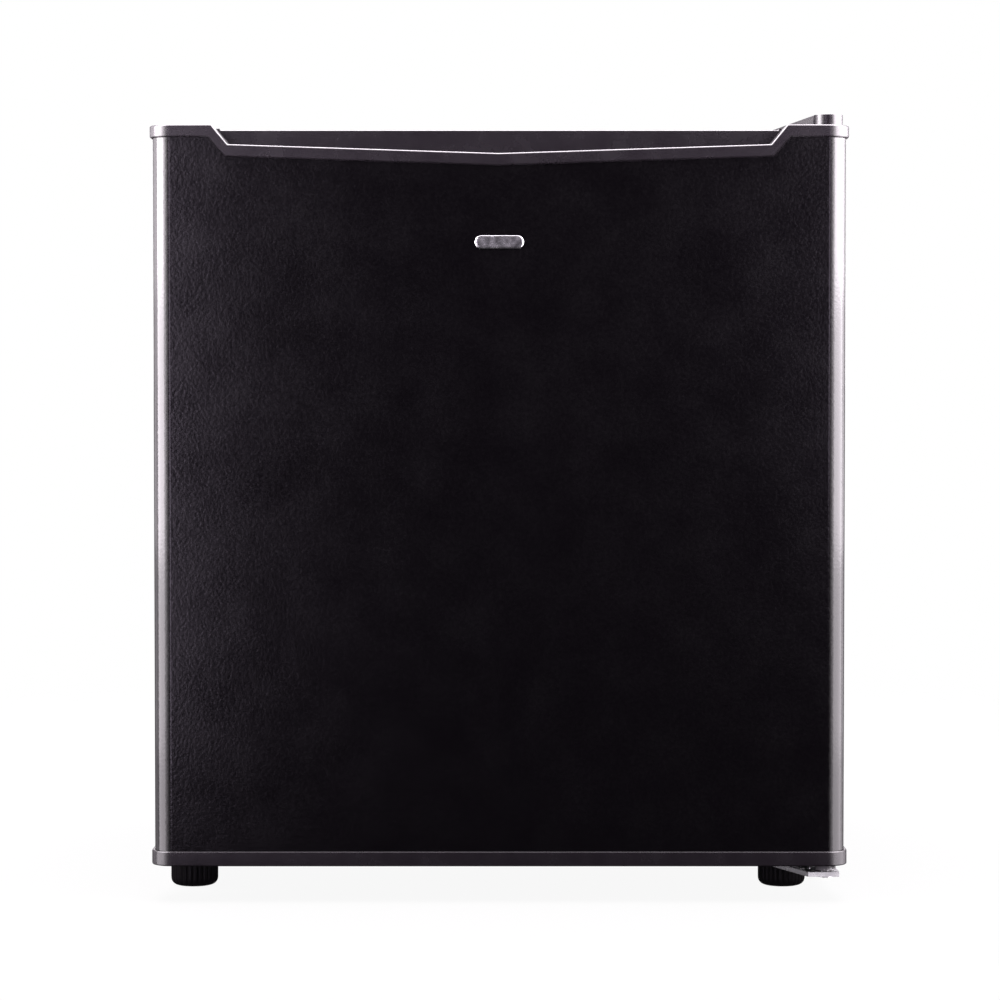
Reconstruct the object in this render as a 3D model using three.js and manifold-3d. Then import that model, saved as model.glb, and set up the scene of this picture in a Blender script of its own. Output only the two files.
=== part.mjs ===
// A compact bar refrigerator of the 45 litre class: a foamed steel cabinet on four feet, a
// right-hung door with a finger pocket in its top edge, a small freezer box, two glass shelves,
// and the sealed cooling circuit with its compressor and wire condenser at the back.
// Millimetres, +Z up, the door faces -Y. The origin is on the floor, under the middle of the box.
import * as THREE from "three";
import { mergeVertices } from "three/addons/utils/BufferGeometryUtils.js";
import Module from "manifold-3d";

const wasm = await Module();
wasm.setup();

// ---------------------------------------------------------------- driving dimensions
// cabinet
const CABINET_WIDTH = 436;
const CABINET_HEIGHT = 467.5;
const CABINET_DEPTH = 385;
const GROUND_CLEARANCE = 24; // floor to the cabinet's underside
const SHEET = 0.8; // painted steel sheet
const GAP = 0.3; // between pieces that touch
const TOP_BEND = 8; // radius where the wrap turns from side to top
const SEAL_FLANGE = 24; // steel face that the door seal pulls on
const SIDE_WALL = 33; // wall thicknesses, outside of the sheet to inside of the liner
const CEILING_WALL = 35.5;
const FLOOR_WALL = 34;
const REAR_WALL = 37;
const LINER = 1.6; // thermoformed sheet
const BAY_DEPTH = 125; // compressor bay under the back of the food space
const BAY_WALL = 30;
// door
const DOOR_OVERHANG = 2; // door skin past the cabinet on each side
const DOOR_DROP = 1; // door below the cabinet's underside
const DOOR_RISE = 1.5; // door above the cabinet's top
const DOOR_DEPTH = 45;
const SEAL_SPACE = 10; // between the door's back and the cabinet
const CAP_PROUD = 2; // end caps past the skin, at the sides
const CAP_FRONT_PROUD = 1.5; // end caps past the skin, at the front
const SKIN_CORNER = 12; // outer radius of the skin's upright edges
const CAP_BAND = 8; // height of the top cap's visible band
const BASE_BAND = 9.4; // height of the bottom cap's visible band
const CAP_WALL = 3;
const GRIP_END = 182; // half-width of the dip in the top cap, at its top
const GRIP_SLOPE = 10.4; // run of the dip's slanted ends
const GRIP_DIP = 12.4; // depth of the dip at its ends
const GRIP_VEE = 5.6; // further depth at the middle
const POCKET_DEPTH = 33; // finger pocket, front face to back wall
const POCKET_FLOOR = 13; // pocket floor below the middle of the dip
const RIM_DROP = 1; // cap's rear rim behind the pocket, below its ends
const DIKE_RISE = 24; // liner's raised frame behind the door's back face
const DIKE_WIDTH = 14;
const DIKE_CLEARANCE = 4; // dike to the food space's walls
const SEAL_WIDTH = 16.5;
// hinges
const HINGE_INSET = 12.5; // pin axis from the cap's side
const HINGE_SETBACK = 22; // pin axis from the cap's front
const PIN_RADIUS = 3.5;
const HINGE_PLATE = 2.5;
const LOWER_PLATE = 3;
const WASHER_HEIGHT = 5;
// feet
const FOOT_RADIUS = 15.5;
const FOOT_HEAD = 17;
const STUD_RADIUS = 4;
const FOOT_SETBACK = 22; // foot axis behind the cabinet's front
const FOOT_LEFT_INSET = 17; // foot axis from the cabinet's side
const FOOT_RIGHT_INSET = 32; // further in, clear of the hinge plate's pin
const FOOT_TRAVEL = 10;
// freezer box
const FREEZER_WIDTH = 230;
const FREEZER_HEIGHT = 100;
const FREEZER_SETBACK = 120; // behind the cabinet's front
const FREEZER_INSET = 10; // from the left wall
const FREEZER_REAR_GAP = 20;
const FREEZER_SHEET = 1.6;
const FRAME_DEPTH = 8;
const FLAP = 4;
const TRAY_HEIGHT = 18;
// shelves and bins
const GLASS = 4;
const SHELF_SETBACK = 108; // front edge behind the cabinet's front
const SHELF_SHARE = 0.54; // upper shelf's place between the lower one and the drip tray
const RIB_HEIGHT = 5;
const RIB_REACH = 8;
const BIN_REACH = 77; // how far the bins stand off the door's back
const BIN_WALL = 2.4;
const BIN_SIDE_GAP = 7; // bin to the dike's inner face
const BOTTLE_BIN_HEIGHT = 72;
const SMALL_BIN_HEIGHT = 52;
const SMALL_BIN_LEVEL = 222; // above the door's bottom edge
// cooling circuit
const CONDENSER_SPACE = 30; // behind the back panel
const COIL_RADIUS = 2.5;
const COIL_ROWS = 12;
const COIL_PITCH = 22.5;
const WIRE = 1.6;
const WIRE_COUNT = 8;
const COMPRESSOR_RADIUS = 52;
const COMPRESSOR_HEIGHT = 132;
const COMPRESSOR_LOW = 5; // above the cabinet's underside
const COMPRESSOR_ROOM = 24; // over the can

// ---------------------------------------------------------------- derived sizes
const DEPTH = DOOR_DEPTH + SEAL_SPACE + CABINET_DEPTH + CONDENSER_SPACE;
const DOOR_HEIGHT = CABINET_HEIGHT + DOOR_DROP + DOOR_RISE;
const SKIN_HALF = CABINET_WIDTH / 2 + DOOR_OVERHANG;
const CAP_HALF = SKIN_HALF + CAP_PROUD;
const HALF = CABINET_WIDTH / 2;
const INSIDE_HALF = HALF - SHEET - GAP; // what lies inside the steel wrap
const SPACE_HALF = HALF - SIDE_WALL; // food space
const SPACE_FLOOR = FLOOR_WALL;
const SPACE_TOP = CABINET_HEIGHT - CEILING_WALL;
const SPACE_BACK = CABINET_DEPTH - REAR_WALL;
const BAY_FRONT = CABINET_DEPTH - BAY_DEPTH;
const BAY_HEIGHT = COMPRESSOR_LOW + COMPRESSOR_HEIGHT + COMPRESSOR_ROOM;
const STEP_TOP = BAY_HEIGHT + BAY_WALL; // the step over the compressor bay
const STEP_FRONT = BAY_FRONT - BAY_WALL;
const FREEZER_TOP = SPACE_TOP - GAP;
const FREEZER_FLOOR = FREEZER_TOP - FREEZER_HEIGHT;
const FRAME_MARGIN = 4; // freezer's front frame past its box
const FRAME_LOW = FREEZER_FLOOR - FRAME_MARGIN;
const TRAY_TOP = FRAME_LOW - 1.5;
const LOWER_SHELF = STEP_TOP + 6; // underside of its glass
const SHELF_PITCH = (TRAY_TOP - TRAY_HEIGHT - LOWER_SHELF) * SHELF_SHARE;
const SHELF_LEVELS = [LOWER_SHELF, LOWER_SHELF + SHELF_PITCH];
const HINGE_X = CAP_HALF - HINGE_INSET;
const DOOR_FROM_CABINET = -(DOOR_DEPTH + SEAL_SPACE); // the door's front, from the cabinet's
const HINGE_Y = DOOR_FROM_CABINET + HINGE_SETBACK; // from the cabinet's front
const FOOT_LEFT_X = -HALF + FOOT_LEFT_INSET;
const FOOT_RIGHT_X = HALF - FOOT_RIGHT_INSET;

// ---------------------------------------------------------------- materials
const finish = (color, roughness, metalness = 0) =>
  new THREE.MeshStandardMaterial({ color, roughness, metalness });
const BLACK_PAINT = finish(0x1d1a1f, 0.45, 0.3);
const BLACK_PLASTIC = finish(0x2a262c, 0.35);
const WHITE_PLASTIC = finish(0xe9ebec, 0.4);
const CLEAR_PLASTIC = finish(0xcfdde4, 0.15);
const FOAM = finish(0xe6d59a, 0.9);
const RUBBER = finish(0x17171a, 0.8);
const SEAL_GREY = finish(0x8d8f93, 0.7);
const ZINC = finish(0xb9bcc0, 0.35, 0.9);
const ALUMINIUM = finish(0xc9ccd0, 0.4, 0.9);
const COPPER = finish(0xb06a45, 0.3, 0.9);
const BLACK_STEEL = finish(0x131316, 0.5, 0.4);
const SHELF_GLASS = finish(0xc6dbd6, 0.05);
const BADGE = finish(0xd5d6da, 0.2, 0.9);

// ---------------------------------------------------------------- shapes
// A closed three.js geometry as a solid that can be joined and cut.
function solid(geometry) {
  const bare = geometry.index ? geometry.toNonIndexed() : geometry.clone();
  bare.deleteAttribute("normal");
  bare.deleteAttribute("uv");
  const merged = mergeVertices(bare, 1e-4);
  return new wasm.Manifold(
    new wasm.Mesh({
      numProp: 3,
      vertProperties: merged.attributes.position.array,
      triVerts: new Uint32Array(merged.index.array),
    }),
  );
}

function block(x0, x1, y0, y1, z0, z1) {
  const geometry = new THREE.BoxGeometry(x1 - x0, y1 - y0, z1 - z0);
  return solid(geometry.translate((x0 + x1) / 2, (y0 + y1) / 2, (z0 + z1) / 2));
}

// An outline pushed along an axis: its own two directions become the two named ones.
function pushed(outline, from, to, across, up, along, bend = 5) {
  const options = { depth: to - from, bevelEnabled: false, curveSegments: bend };
  const geometry = new THREE.ExtrudeGeometry(outline, options).translate(0, 0, from);
  return solid(geometry.applyMatrix4(new THREE.Matrix4().makeBasis(across, up, along)));
}
const X = new THREE.Vector3(1, 0, 0);
const Y = new THREE.Vector3(0, 1, 0);
const Z = new THREE.Vector3(0, 0, 1);
const MINUS_Y = new THREE.Vector3(0, -1, 0);
const planView = (outline, z0, z1, bend) => pushed(outline, z0, z1, X, Y, Z, bend);
const frontView = (outline, y0, y1, bend) => pushed(outline, -y1, -y0, X, Z, MINUS_Y, bend);
const sideView = (outline, x0, x1, bend) => pushed(outline, x0, x1, Y, Z, X, bend);

const polygon = (points) => new THREE.Shape(points.map(([a, b]) => new THREE.Vector2(a, b)));

// A rectangle with its own radius at each corner: low left, low right, high right, high left.
function rounded(a0, a1, b0, b1, [r0, r1, r2, r3]) {
  const s = new THREE.Shape();
  s.moveTo(a0 + r0, b0);
  s.lineTo(a1 - r1, b0);
  if (r1) s.absarc(a1 - r1, b0 + r1, r1, -Math.PI / 2, 0, false);
  s.lineTo(a1, b1 - r2);
  if (r2) s.absarc(a1 - r2, b1 - r2, r2, 0, Math.PI / 2, false);
  s.lineTo(a0 + r3, b1);
  if (r3) s.absarc(a0 + r3, b1 - r3, r3, Math.PI / 2, Math.PI, false);
  s.lineTo(a0, b0 + r0);
  if (r0) s.absarc(a0 + r0, b0 + r0, r0, Math.PI, Math.PI * 1.5, false);
  return s;
}

// A round bar along X, Y or Z.
function rod(axis, radius, from, to, a, b, sides = 16) {
  const bar = new THREE.CylinderGeometry(radius, radius, to - from, sides);
  const middle = (from + to) / 2;
  if (axis === "x") bar.rotateZ(-Math.PI / 2).translate(middle, a, b);
  if (axis === "y") bar.translate(a, middle, b);
  if (axis === "z") bar.rotateX(Math.PI / 2).translate(a, b, middle);
  return solid(bar);
}

// A profile of [radius, height] points, bottom to top on the outside, turned about Z.
function turned(profile, sides = 20) {
  const points = profile.map(([r, z]) => new THREE.Vector2(r, z));
  return solid(new THREE.LatheGeometry(points, sides).rotateX(Math.PI / 2));
}

// A path through corner points, each corner rounded to the bend radius, with the sections of a
// swept tube exactly at its own points.
class Route extends THREE.Curve {
  constructor(corners, bend, steps = 4) {
    super();
    const p = corners.map((c) => new THREE.Vector3(...c));
    this.points = [p[0]];
    for (let i = 1; i < p.length - 1; i++) {
      const before = p[i - 1].clone().sub(p[i]);
      const after = p[i + 1].clone().sub(p[i]);
      const half = before.angleTo(after) / 2;
      const reach = Math.min(bend / Math.tan(half), before.length() / 2, after.length() / 2);
      const start = before.setLength(reach).add(p[i]);
      const end = after.setLength(reach).add(p[i]);
      const arc = new THREE.QuadraticBezierCurve3(start, p[i], end);
      this.points.push(...arc.getPoints(steps));
    }
    this.points.push(p[p.length - 1]);
    this.points = this.points.filter((q, i, all) => !i || q.distanceTo(all[i - 1]) > 0.05);
  }
  getPoint(t, target = new THREE.Vector3()) {
    const place = t * (this.points.length - 1);
    const i = Math.min(Math.floor(place + 1e-6), this.points.length - 2);
    return target.lerpVectors(this.points[i], this.points[i + 1], place - i);
  }
  getPointAt(u, target) {
    return this.getPoint(u, target);
  }
  getTangentAt(u, target = new THREE.Vector3()) {
    const last = this.points.length - 1;
    const i = Math.round(u * last);
    const before = this.points[Math.max(i - 1, 0)];
    const after = this.points[Math.min(i + 1, last)];
    const here = this.points[i];
    const arriving = here.clone().sub(before).normalize();
    return target.copy(after).sub(here).normalize().add(arriving).normalize();
  }
}

function pipe(corners, radius, bend, sides = 8, steps = 4) {
  const path = new Route(corners, bend, steps);
  const ring = new THREE.Shape();
  ring.absarc(0, 0, radius, 0, Math.PI * 2, false);
  const options = {
    extrudePath: path,
    steps: path.points.length - 1,
    curveSegments: sides / 2,
    bevelEnabled: false,
  };
  return solid(new THREE.ExtrudeGeometry(ring, options));
}

// A named mesh of a solid, where it belongs in its group.
function piece(name, shape, material, x = 0, y = 0, z = 0) {
  const made = shape.getMesh();
  const geometry = new THREE.BufferGeometry();
  geometry.setAttribute("position", new THREE.BufferAttribute(made.vertProperties, 3));
  geometry.setIndex(new THREE.BufferAttribute(made.triVerts, 1));
  geometry.computeVertexNormals();
  const mesh = new THREE.Mesh(geometry, material);
  mesh.name = name;
  mesh.position.set(x, y, z);
  return mesh;
}

const groupAt = (x, y, z) => {
  const group = new THREE.Group();
  group.position.set(x, y, z);
  return group;
};

// ================================================================ cabinet
// In the cabinet's group y runs back from its front face and z up from its underside.
const FRONT_Y = -DEPTH / 2 - DOOR_FROM_CABINET;
const cabinet = groupAt(0, FRONT_Y, GROUND_CLEARANCE);

const wrapOutline = (inset, low) => {
  const r = Math.max(TOP_BEND - inset, 0.1);
  const half = HALF - inset;
  return rounded(-half, half, low, CABINET_HEIGHT - inset, [0, 0, r, r]);
};

// Places of the fasteners that go through the steel.
const UPPER_SCREWS = [
  [HALF - 12, 16],
  [HALF - 21, 38],
];
const LOWER_SCREWS = [
  [HALF - 12, 52],
  [HALF - 44, 52],
];
const SCREW_SHANK = 2;
const SCREW_LENGTH = 12;
const SCREW_ROOM = 0.5;
const FEET = [
  [FOOT_LEFT_X, FOOT_SETBACK],
  [FOOT_RIGHT_X, FOOT_SETBACK],
];
const STUD_ROOM = 1.5;
const SOCKET_RADIUS = 8;
const SOCKET_TOP = 30;

// Side and top walls folded from one sheet, with the flange that the door seal closes on.
function cabinetShell() {
  let shell = frontView(wrapOutline(0, 0), 0, CABINET_DEPTH);
  shell = shell.subtract(frontView(wrapOutline(SHEET, -5), SHEET, CABINET_DEPTH + 1));
  shell = shell.subtract(frontView(wrapOutline(SEAL_FLANGE, -5), -1, SHEET + 1));
  for (const [x, y] of UPPER_SCREWS) {
    const hole = SCREW_SHANK + SCREW_ROOM;
    shell = shell.subtract(rod("z", hole, CABINET_HEIGHT - 3, CABINET_HEIGHT + 3, x, y, 10));
  }
  return piece("cabinet_shell", shell, BLACK_PAINT);
}
cabinet.add(cabinetShell());

function backPanel() {
  const r = TOP_BEND - SHEET - GAP;
  const top = CABINET_HEIGHT - SHEET - GAP;
  const outline = rounded(-INSIDE_HALF, INSIDE_HALF, BAY_HEIGHT + GAP, top, [0, 0, r, r]);
  return piece("back_panel", frontView(outline, CABINET_DEPTH - SHEET, CABINET_DEPTH), ZINC);
}
cabinet.add(backPanel());

// Front floor of the cabinet, with the lower part of the sealing flange folded up from it.
function basePlate() {
  const flangeHalf = HALF - SEAL_FLANGE - GAP;
  let plate = block(-INSIDE_HALF, INSIDE_HALF, SHEET + GAP, BAY_FRONT - GAP, 0, SHEET);
  plate = plate.add(block(-flangeHalf, flangeHalf, 0, SHEET + 2, 0, SHEET));
  plate = plate.add(block(-flangeHalf, flangeHalf, 0, SHEET, 0, SEAL_FLANGE));
  for (const [x, y] of FEET)
    plate = plate.subtract(rod("z", STUD_RADIUS + STUD_ROOM, -2, 2, x, y, 12));
  for (const [x, y] of LOWER_SCREWS)
    plate = plate.subtract(rod("z", SCREW_SHANK + SCREW_ROOM, -2, 2, x, y, 10));
  return piece("base_plate", plate, BLACK_PAINT);
}
cabinet.add(basePlate());

const SUCTION_HOLE = [-62, BAY_FRONT + 50];
const SUCTION_RADIUS = 3.2;
const CAPILLARY_HOLE = [-78, BAY_FRONT + 50];
const CAPILLARY_RADIUS = 1.2;
const PIPE_ROOM = 1;

// Upright wall and ceiling of the compressor bay.
function bayPlate() {
  const back = CABINET_DEPTH - GAP;
  let plate = block(-INSIDE_HALF, INSIDE_HALF, BAY_FRONT, BAY_FRONT + SHEET, 0, BAY_HEIGHT);
  const low = BAY_HEIGHT - SHEET;
  plate = plate.add(block(-INSIDE_HALF, INSIDE_HALF, BAY_FRONT, back, low, BAY_HEIGHT));
  const holes = [
    [...SUCTION_HOLE, SUCTION_RADIUS],
    [...CAPILLARY_HOLE, CAPILLARY_RADIUS],
  ];
  for (const [x, y, r] of holes)
    plate = plate.subtract(rod("z", r + PIPE_ROOM, BAY_HEIGHT - 5, BAY_HEIGHT + 5, x, y, 10));
  return piece("compressor_bay_plate", plate, ZINC);
}
cabinet.add(bayPlate());

// The food space seen from the side, grown outwards by a margin.
const STEP_CHAMFER = 14;
function spaceOutline(margin, front) {
  const turn = margin * 0.41; // keeps the chamfer's wall as thick as the others
  return polygon([
    [front, SPACE_FLOOR - margin],
    [STEP_FRONT + margin, SPACE_FLOOR - margin],
    [STEP_FRONT + margin, STEP_TOP - STEP_CHAMFER - turn],
    [STEP_FRONT + STEP_CHAMFER + turn, STEP_TOP - margin],
    [SPACE_BACK + margin, STEP_TOP - margin],
    [SPACE_BACK + margin, SPACE_TOP + margin],
    [front, SPACE_TOP + margin],
  ]);
}
const space = (margin, front) =>
  sideView(spaceOutline(margin, front), -SPACE_HALF - margin, SPACE_HALF + margin);

// Rigid foam that fills the walls, with room for what is screwed into it.
const FOAM_FRONT = SHEET + LINER + GAP;
function insulationFoam() {
  const wall = SHEET + GAP;
  const back = CABINET_DEPTH - SHEET - GAP;
  let foam = frontView(wrapOutline(wall, wall), FOAM_FRONT, back);
  foam = foam.subtract(space(LINER + GAP, -5));
  const bayFront = BAY_FRONT - GAP;
  foam = foam.subtract(block(-HALF, HALF, bayFront, CABINET_DEPTH, -5, BAY_HEIGHT + GAP));
  for (const [x, y] of FEET)
    foam = foam.subtract(rod("z", SOCKET_RADIUS + GAP + 0.3, -2, SOCKET_TOP + GAP, x, y, 12));
  const room = SCREW_SHANK + SCREW_ROOM;
  for (const [x, y] of LOWER_SCREWS)
    foam = foam.subtract(rod("z", room, -2, SCREW_LENGTH + 1, x, y, 10));
  const low = CABINET_HEIGHT - SCREW_LENGTH - 1;
  for (const [x, y] of UPPER_SCREWS)
    foam = foam.subtract(rod("z", room, low, CABINET_HEIGHT + 2, x, y, 10));
  for (const [[x, y], r] of [
    [SUCTION_HOLE, SUCTION_RADIUS],
    [CAPILLARY_HOLE, CAPILLARY_RADIUS],
  ])
    foam = foam.subtract(rod("z", r + PIPE_ROOM, BAY_HEIGHT - 2, BAY_HEIGHT + 14, x, y, 10));
  return piece("insulation_foam", foam, FOAM);
}
cabinet.add(insulationFoam());

// White inner lining, one thermoformed sheet, with the ribs that carry the shelves.
const RIB_LEVELS = [SHELF_LEVELS[0] - SHELF_PITCH, ...SHELF_LEVELS];
const SHELF_TRAVEL = 25; // until the glass meets the stop on the rib's front end
const GLASS_INSET = 2;
const STOP = 3;
const STOP_BACK = SHELF_SETBACK + GLASS_INSET - SHELF_TRAVEL - GAP;
const RIB_FRONT = STOP_BACK - STOP;
function innerLiner() {
  const flangeHalf = HALF - SEAL_FLANGE - GAP;
  const flangeTop = CABINET_HEIGHT - SEAL_FLANGE - GAP;
  let liner = space(LINER, LINER / 2);
  const flange = rounded(-flangeHalf, flangeHalf, SEAL_FLANGE + GAP, flangeTop, [0, 0, 0, 0]);
  liner = liner.add(frontView(flange, 0, LINER));
  liner = liner.subtract(space(0, -5));
  for (const level of RIB_LEVELS)
    for (const side of [-1, 1]) {
      const inner = side * (SPACE_HALF - RIB_REACH);
      const outer = side * (SPACE_HALF + LINER / 2);
      const [x0, x1] = side < 0 ? [outer, inner] : [inner, outer];
      const back = level < STEP_TOP ? STEP_FRONT + LINER / 2 : SPACE_BACK + LINER / 2;
      const top = level - GAP;
      liner = liner.add(block(x0, x1, RIB_FRONT, back, top - RIB_HEIGHT, top));
      liner = liner.add(block(x0, x1, RIB_FRONT, STOP_BACK, top - 1, top + STOP));
    }
  return piece("inner_liner", liner, WHITE_PLASTIC);
}
cabinet.add(innerLiner());

// ---------------------------------------------------------------- feet
const ribbedOutline = (radius, ribs, depth) => {
  const points = [];
  for (let i = 0; i < ribs * 2; i++) {
    const angle = (i / ribs) * Math.PI;
    const r = i % 2 ? radius : radius - depth;
    points.push([r * Math.cos(angle), r * Math.sin(angle)]);
  }
  return polygon(points);
};

// Screw foot: a ribbed plastic head moulded on a threaded stud. Its own origin is on the floor.
const FOOT_RIBS = 26;
const FOOT_EDGE = 4;
const STUD_TOP = GROUND_CLEARANCE + SOCKET_TOP - 5;
function levellingFoot(name, x, y) {
  const edge = [
    [0, 0],
    [FOOT_RADIUS - FOOT_EDGE, 0],
    [FOOT_RADIUS - FOOT_EDGE * 0.3, FOOT_EDGE * 0.35],
    [FOOT_RADIUS + 0.5, FOOT_EDGE],
    [FOOT_RADIUS + 0.5, FOOT_HEAD],
    [0, FOOT_HEAD],
  ];
  let foot = planView(ribbedOutline(FOOT_RADIUS, FOOT_RIBS, 0.7), 0, FOOT_HEAD);
  foot = foot.intersect(turned(edge, 24));
  foot = foot.add(rod("z", STUD_RADIUS, FOOT_HEAD - 1, STUD_TOP, 0, 0, 12));
  return piece(name, foot, RUBBER, x, FRONT_Y + y, 0);
}

// Threaded insert pressed into the base plate, closed at the top so that no foam gets in.
function footSocket(name, x, y) {
  const bore = STUD_RADIUS + GAP + 0.3;
  const socket = turned(
    [
      [bore, 0],
      [SOCKET_RADIUS, 0],
      [SOCKET_RADIUS, SOCKET_TOP - SHEET - GAP],
      [0, SOCKET_TOP - SHEET - GAP],
      [0, SOCKET_TOP - 4],
      [bore, SOCKET_TOP - 4],
      [bore, 0],
    ],
    12,
  );
  return piece(name, socket, ZINC, x, y, SHEET + GAP);
}
cabinet.add(footSocket("foot_socket_left", FOOT_LEFT_X, FOOT_SETBACK));
cabinet.add(footSocket("foot_socket_right", FOOT_RIGHT_X, FOOT_SETBACK));

// ---------------------------------------------------------------- compressor bay
const TRAY_SHEET = 1.2;
const TRAY_FRONT = BAY_FRONT + 12;
const TRAY_BACK = CABINET_DEPTH - 5;
const TRAY_FOLD = 10;
const COMPRESSOR_X = 45;
const COMPRESSOR_Y = (BAY_FRONT + CABINET_DEPTH) / 2 + 3;
const MOUNT_X = 58;
const MOUNT_Y = 36;
const GROMMET_NECK = 5;
const GROMMET_RADIUS = 8;
const GROMMET_HEIGHT = 11;
const MOUNTS = [
  [-1, -1],
  [1, -1],
  [1, 1],
  [-1, 1],
].map(([i, j]) => [COMPRESSOR_X + i * MOUNT_X, COMPRESSOR_Y + j * MOUNT_Y]);
const REAR_FOOT_INSET = 26;
const REAR_FOOT_RADIUS = 13;
const REAR_FEET = [-1, 1].map((side) => [side * (HALF - REAR_FOOT_INSET), TRAY_BACK - 22]);
const GLAND_X = 130;
const GLAND_RADIUS = 6;
const GLAND_HEIGHT = 14;

// Cross plate under the compressor, folded up along both edges, with a tab for the cord's gland.
function compressorTray() {
  let tray = block(-INSIDE_HALF, INSIDE_HALF, TRAY_FRONT, TRAY_BACK, 0, TRAY_SHEET);
  for (const y of [TRAY_FRONT, TRAY_BACK - TRAY_SHEET])
    tray = tray.add(block(-INSIDE_HALF, INSIDE_HALF, y, y + TRAY_SHEET, 0, TRAY_FOLD));
  const half = GLAND_RADIUS + 6;
  const back = TRAY_BACK - TRAY_SHEET;
  const tabTop = GLAND_HEIGHT + half;
  tray = tray.add(block(GLAND_X - half, GLAND_X + half, back, TRAY_BACK, 0, tabTop));
  const glandHole = GLAND_RADIUS + GAP;
  tray = tray.subtract(rod("y", glandHole, back - 5, TRAY_BACK + 5, GLAND_X, GLAND_HEIGHT, 12));
  for (const [x, y] of MOUNTS)
    tray = tray.subtract(rod("z", GROMMET_NECK + GAP, -2, 3, x, y, 12));
  for (const [x, y] of REAR_FEET) tray = tray.subtract(rod("z", 3.6, -2, 3, x, y, 10));
  return piece("compressor_tray", tray, ZINC);
}
cabinet.add(compressorTray());

// Rear foot: a plain moulded pad with a peg that snaps into the tray.
function rearFoot(name, [x, y]) {
  const top = GROUND_CLEARANCE - GAP;
  const foot = turned(
    [
      [0, 0],
      [REAR_FOOT_RADIUS - 2, 0],
      [REAR_FOOT_RADIUS, 2],
      [REAR_FOOT_RADIUS, top],
      [3.2, top],
      [3.2, top + 5],
      [0, top + 5],
    ],
    16,
  );
  return piece(name, foot, RUBBER, x, y, -GROUND_CLEARANCE);
}
cabinet.add(rearFoot("rear_foot_left", REAR_FEET[0]));
cabinet.add(rearFoot("rear_foot_right", REAR_FEET[1]));

// Rubber grommet: its neck sits in the tray and its shoulder carries the compressor's foot plate.
function grommet(name, [x, y]) {
  const shape = turned(
    [
      [0, 0],
      [GROMMET_NECK, 0],
      [GROMMET_NECK, 3],
      [GROMMET_RADIUS, 3],
      [GROMMET_RADIUS, 3 + GROMMET_HEIGHT],
      [GROMMET_NECK, 3 + GROMMET_HEIGHT],
      [GROMMET_NECK, 8 + GROMMET_HEIGHT],
      [0, 8 + GROMMET_HEIGHT],
    ],
    12,
  );
  return piece(name, shape, RUBBER, x, y, TRAY_SHEET + GAP - 3);
}
MOUNTS.forEach((place, i) => cabinet.add(grommet(`compressor_grommet_${i + 1}`, place)));

// Welded steel compressor can, its foot plate and the stub that it was charged through.
const FOOT_PLATE = 3;
const FOOT_PLATE_Z = TRAY_SHEET + GROMMET_HEIGHT + 2 * GAP;
function compressor() {
  const r = COMPRESSOR_RADIUS;
  const h = COMPRESSOR_HEIGHT;
  const seam = h * 0.52;
  const can = turned(
    [
      [0, 0],
      [r * 0.55, 1],
      [r * 0.85, 7],
      [r * 0.97, 18],
      [r * 0.97, seam - 2],
      [r, seam - 1],
      [r, seam + 4],
      [r * 0.94, seam + 5],
      [r * 0.94, h * 0.8],
      [r * 0.82, h * 0.92],
      [r * 0.5, h * 0.985],
      [0, h],
    ],
    20,
  );
  const z = FOOT_PLATE_Z - COMPRESSOR_LOW;
  const [a, b] = [MOUNT_X + 10, MOUNT_Y + 10];
  let shape = can.add(planView(rounded(-a, a, -b, b, [10, 10, 10, 10]), z, z + FOOT_PLATE, 3));
  for (const i of [-1, 1])
    for (const j of [-1, 1]) {
      const hole = GROMMET_NECK + GAP;
      shape = shape.subtract(rod("z", hole, z - 3, z + 9, i * MOUNT_X, j * MOUNT_Y, 12));
    }
  const stub = [
    [r * 0.6, -r * 0.5, h * 0.35],
    [r * 0.6 + 34, -r * 0.5 - 2, h * 0.35],
    [r * 0.6 + 34, -r * 0.5 - 2, h * 0.35 + 26],
  ];
  shape = shape.add(pipe(stub, 2.5, 8, 8, 3));
  return piece("compressor", shape, BLACK_STEEL, COMPRESSOR_X, COMPRESSOR_Y, COMPRESSOR_LOW);
}
cabinet.add(compressor());

// Cover over the compressor's terminals, start relay and overload switch.
const RELAY_WIDTH = 46;
function relayCover() {
  const r = COMPRESSOR_RADIUS;
  let cover = block(-r - 30, -r * 0.5, -RELAY_WIDTH / 2, RELAY_WIDTH / 2, 36, 94);
  cover = cover.subtract(rod("z", r + 0.8, 20, 120, 0, 0, 24));
  const inside = RELAY_WIDTH / 2 - 2;
  cover = cover.subtract(block(-r - 28, -r * 0.5, -inside, inside, 38, 92));
  return piece("relay_cover", cover, BLACK_PLASTIC, COMPRESSOR_X, COMPRESSOR_Y, COMPRESSOR_LOW);
}
cabinet.add(relayCover());

// Rubber bush that the supply cord passes through.
function cordGland() {
  const r = GLAND_RADIUS;
  const shape = turned(
    [
      [r - 2, -4],
      [r + 2, -4],
      [r + 2, -1 - GAP],
      [r, -1 - GAP],
      [r, 1 + GAP],
      [r + 2, 1 + GAP],
      [r + 2, 4],
      [r - 2, 4],
      [r - 2, -4],
    ],
    12,
  );
  const mesh = piece("cord_gland", shape, RUBBER, GLAND_X, TRAY_BACK - TRAY_SHEET / 2);
  mesh.position.z = GLAND_HEIGHT;
  mesh.rotation.x = Math.PI / 2;
  return mesh;
}
cabinet.add(cordGland());

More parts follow.
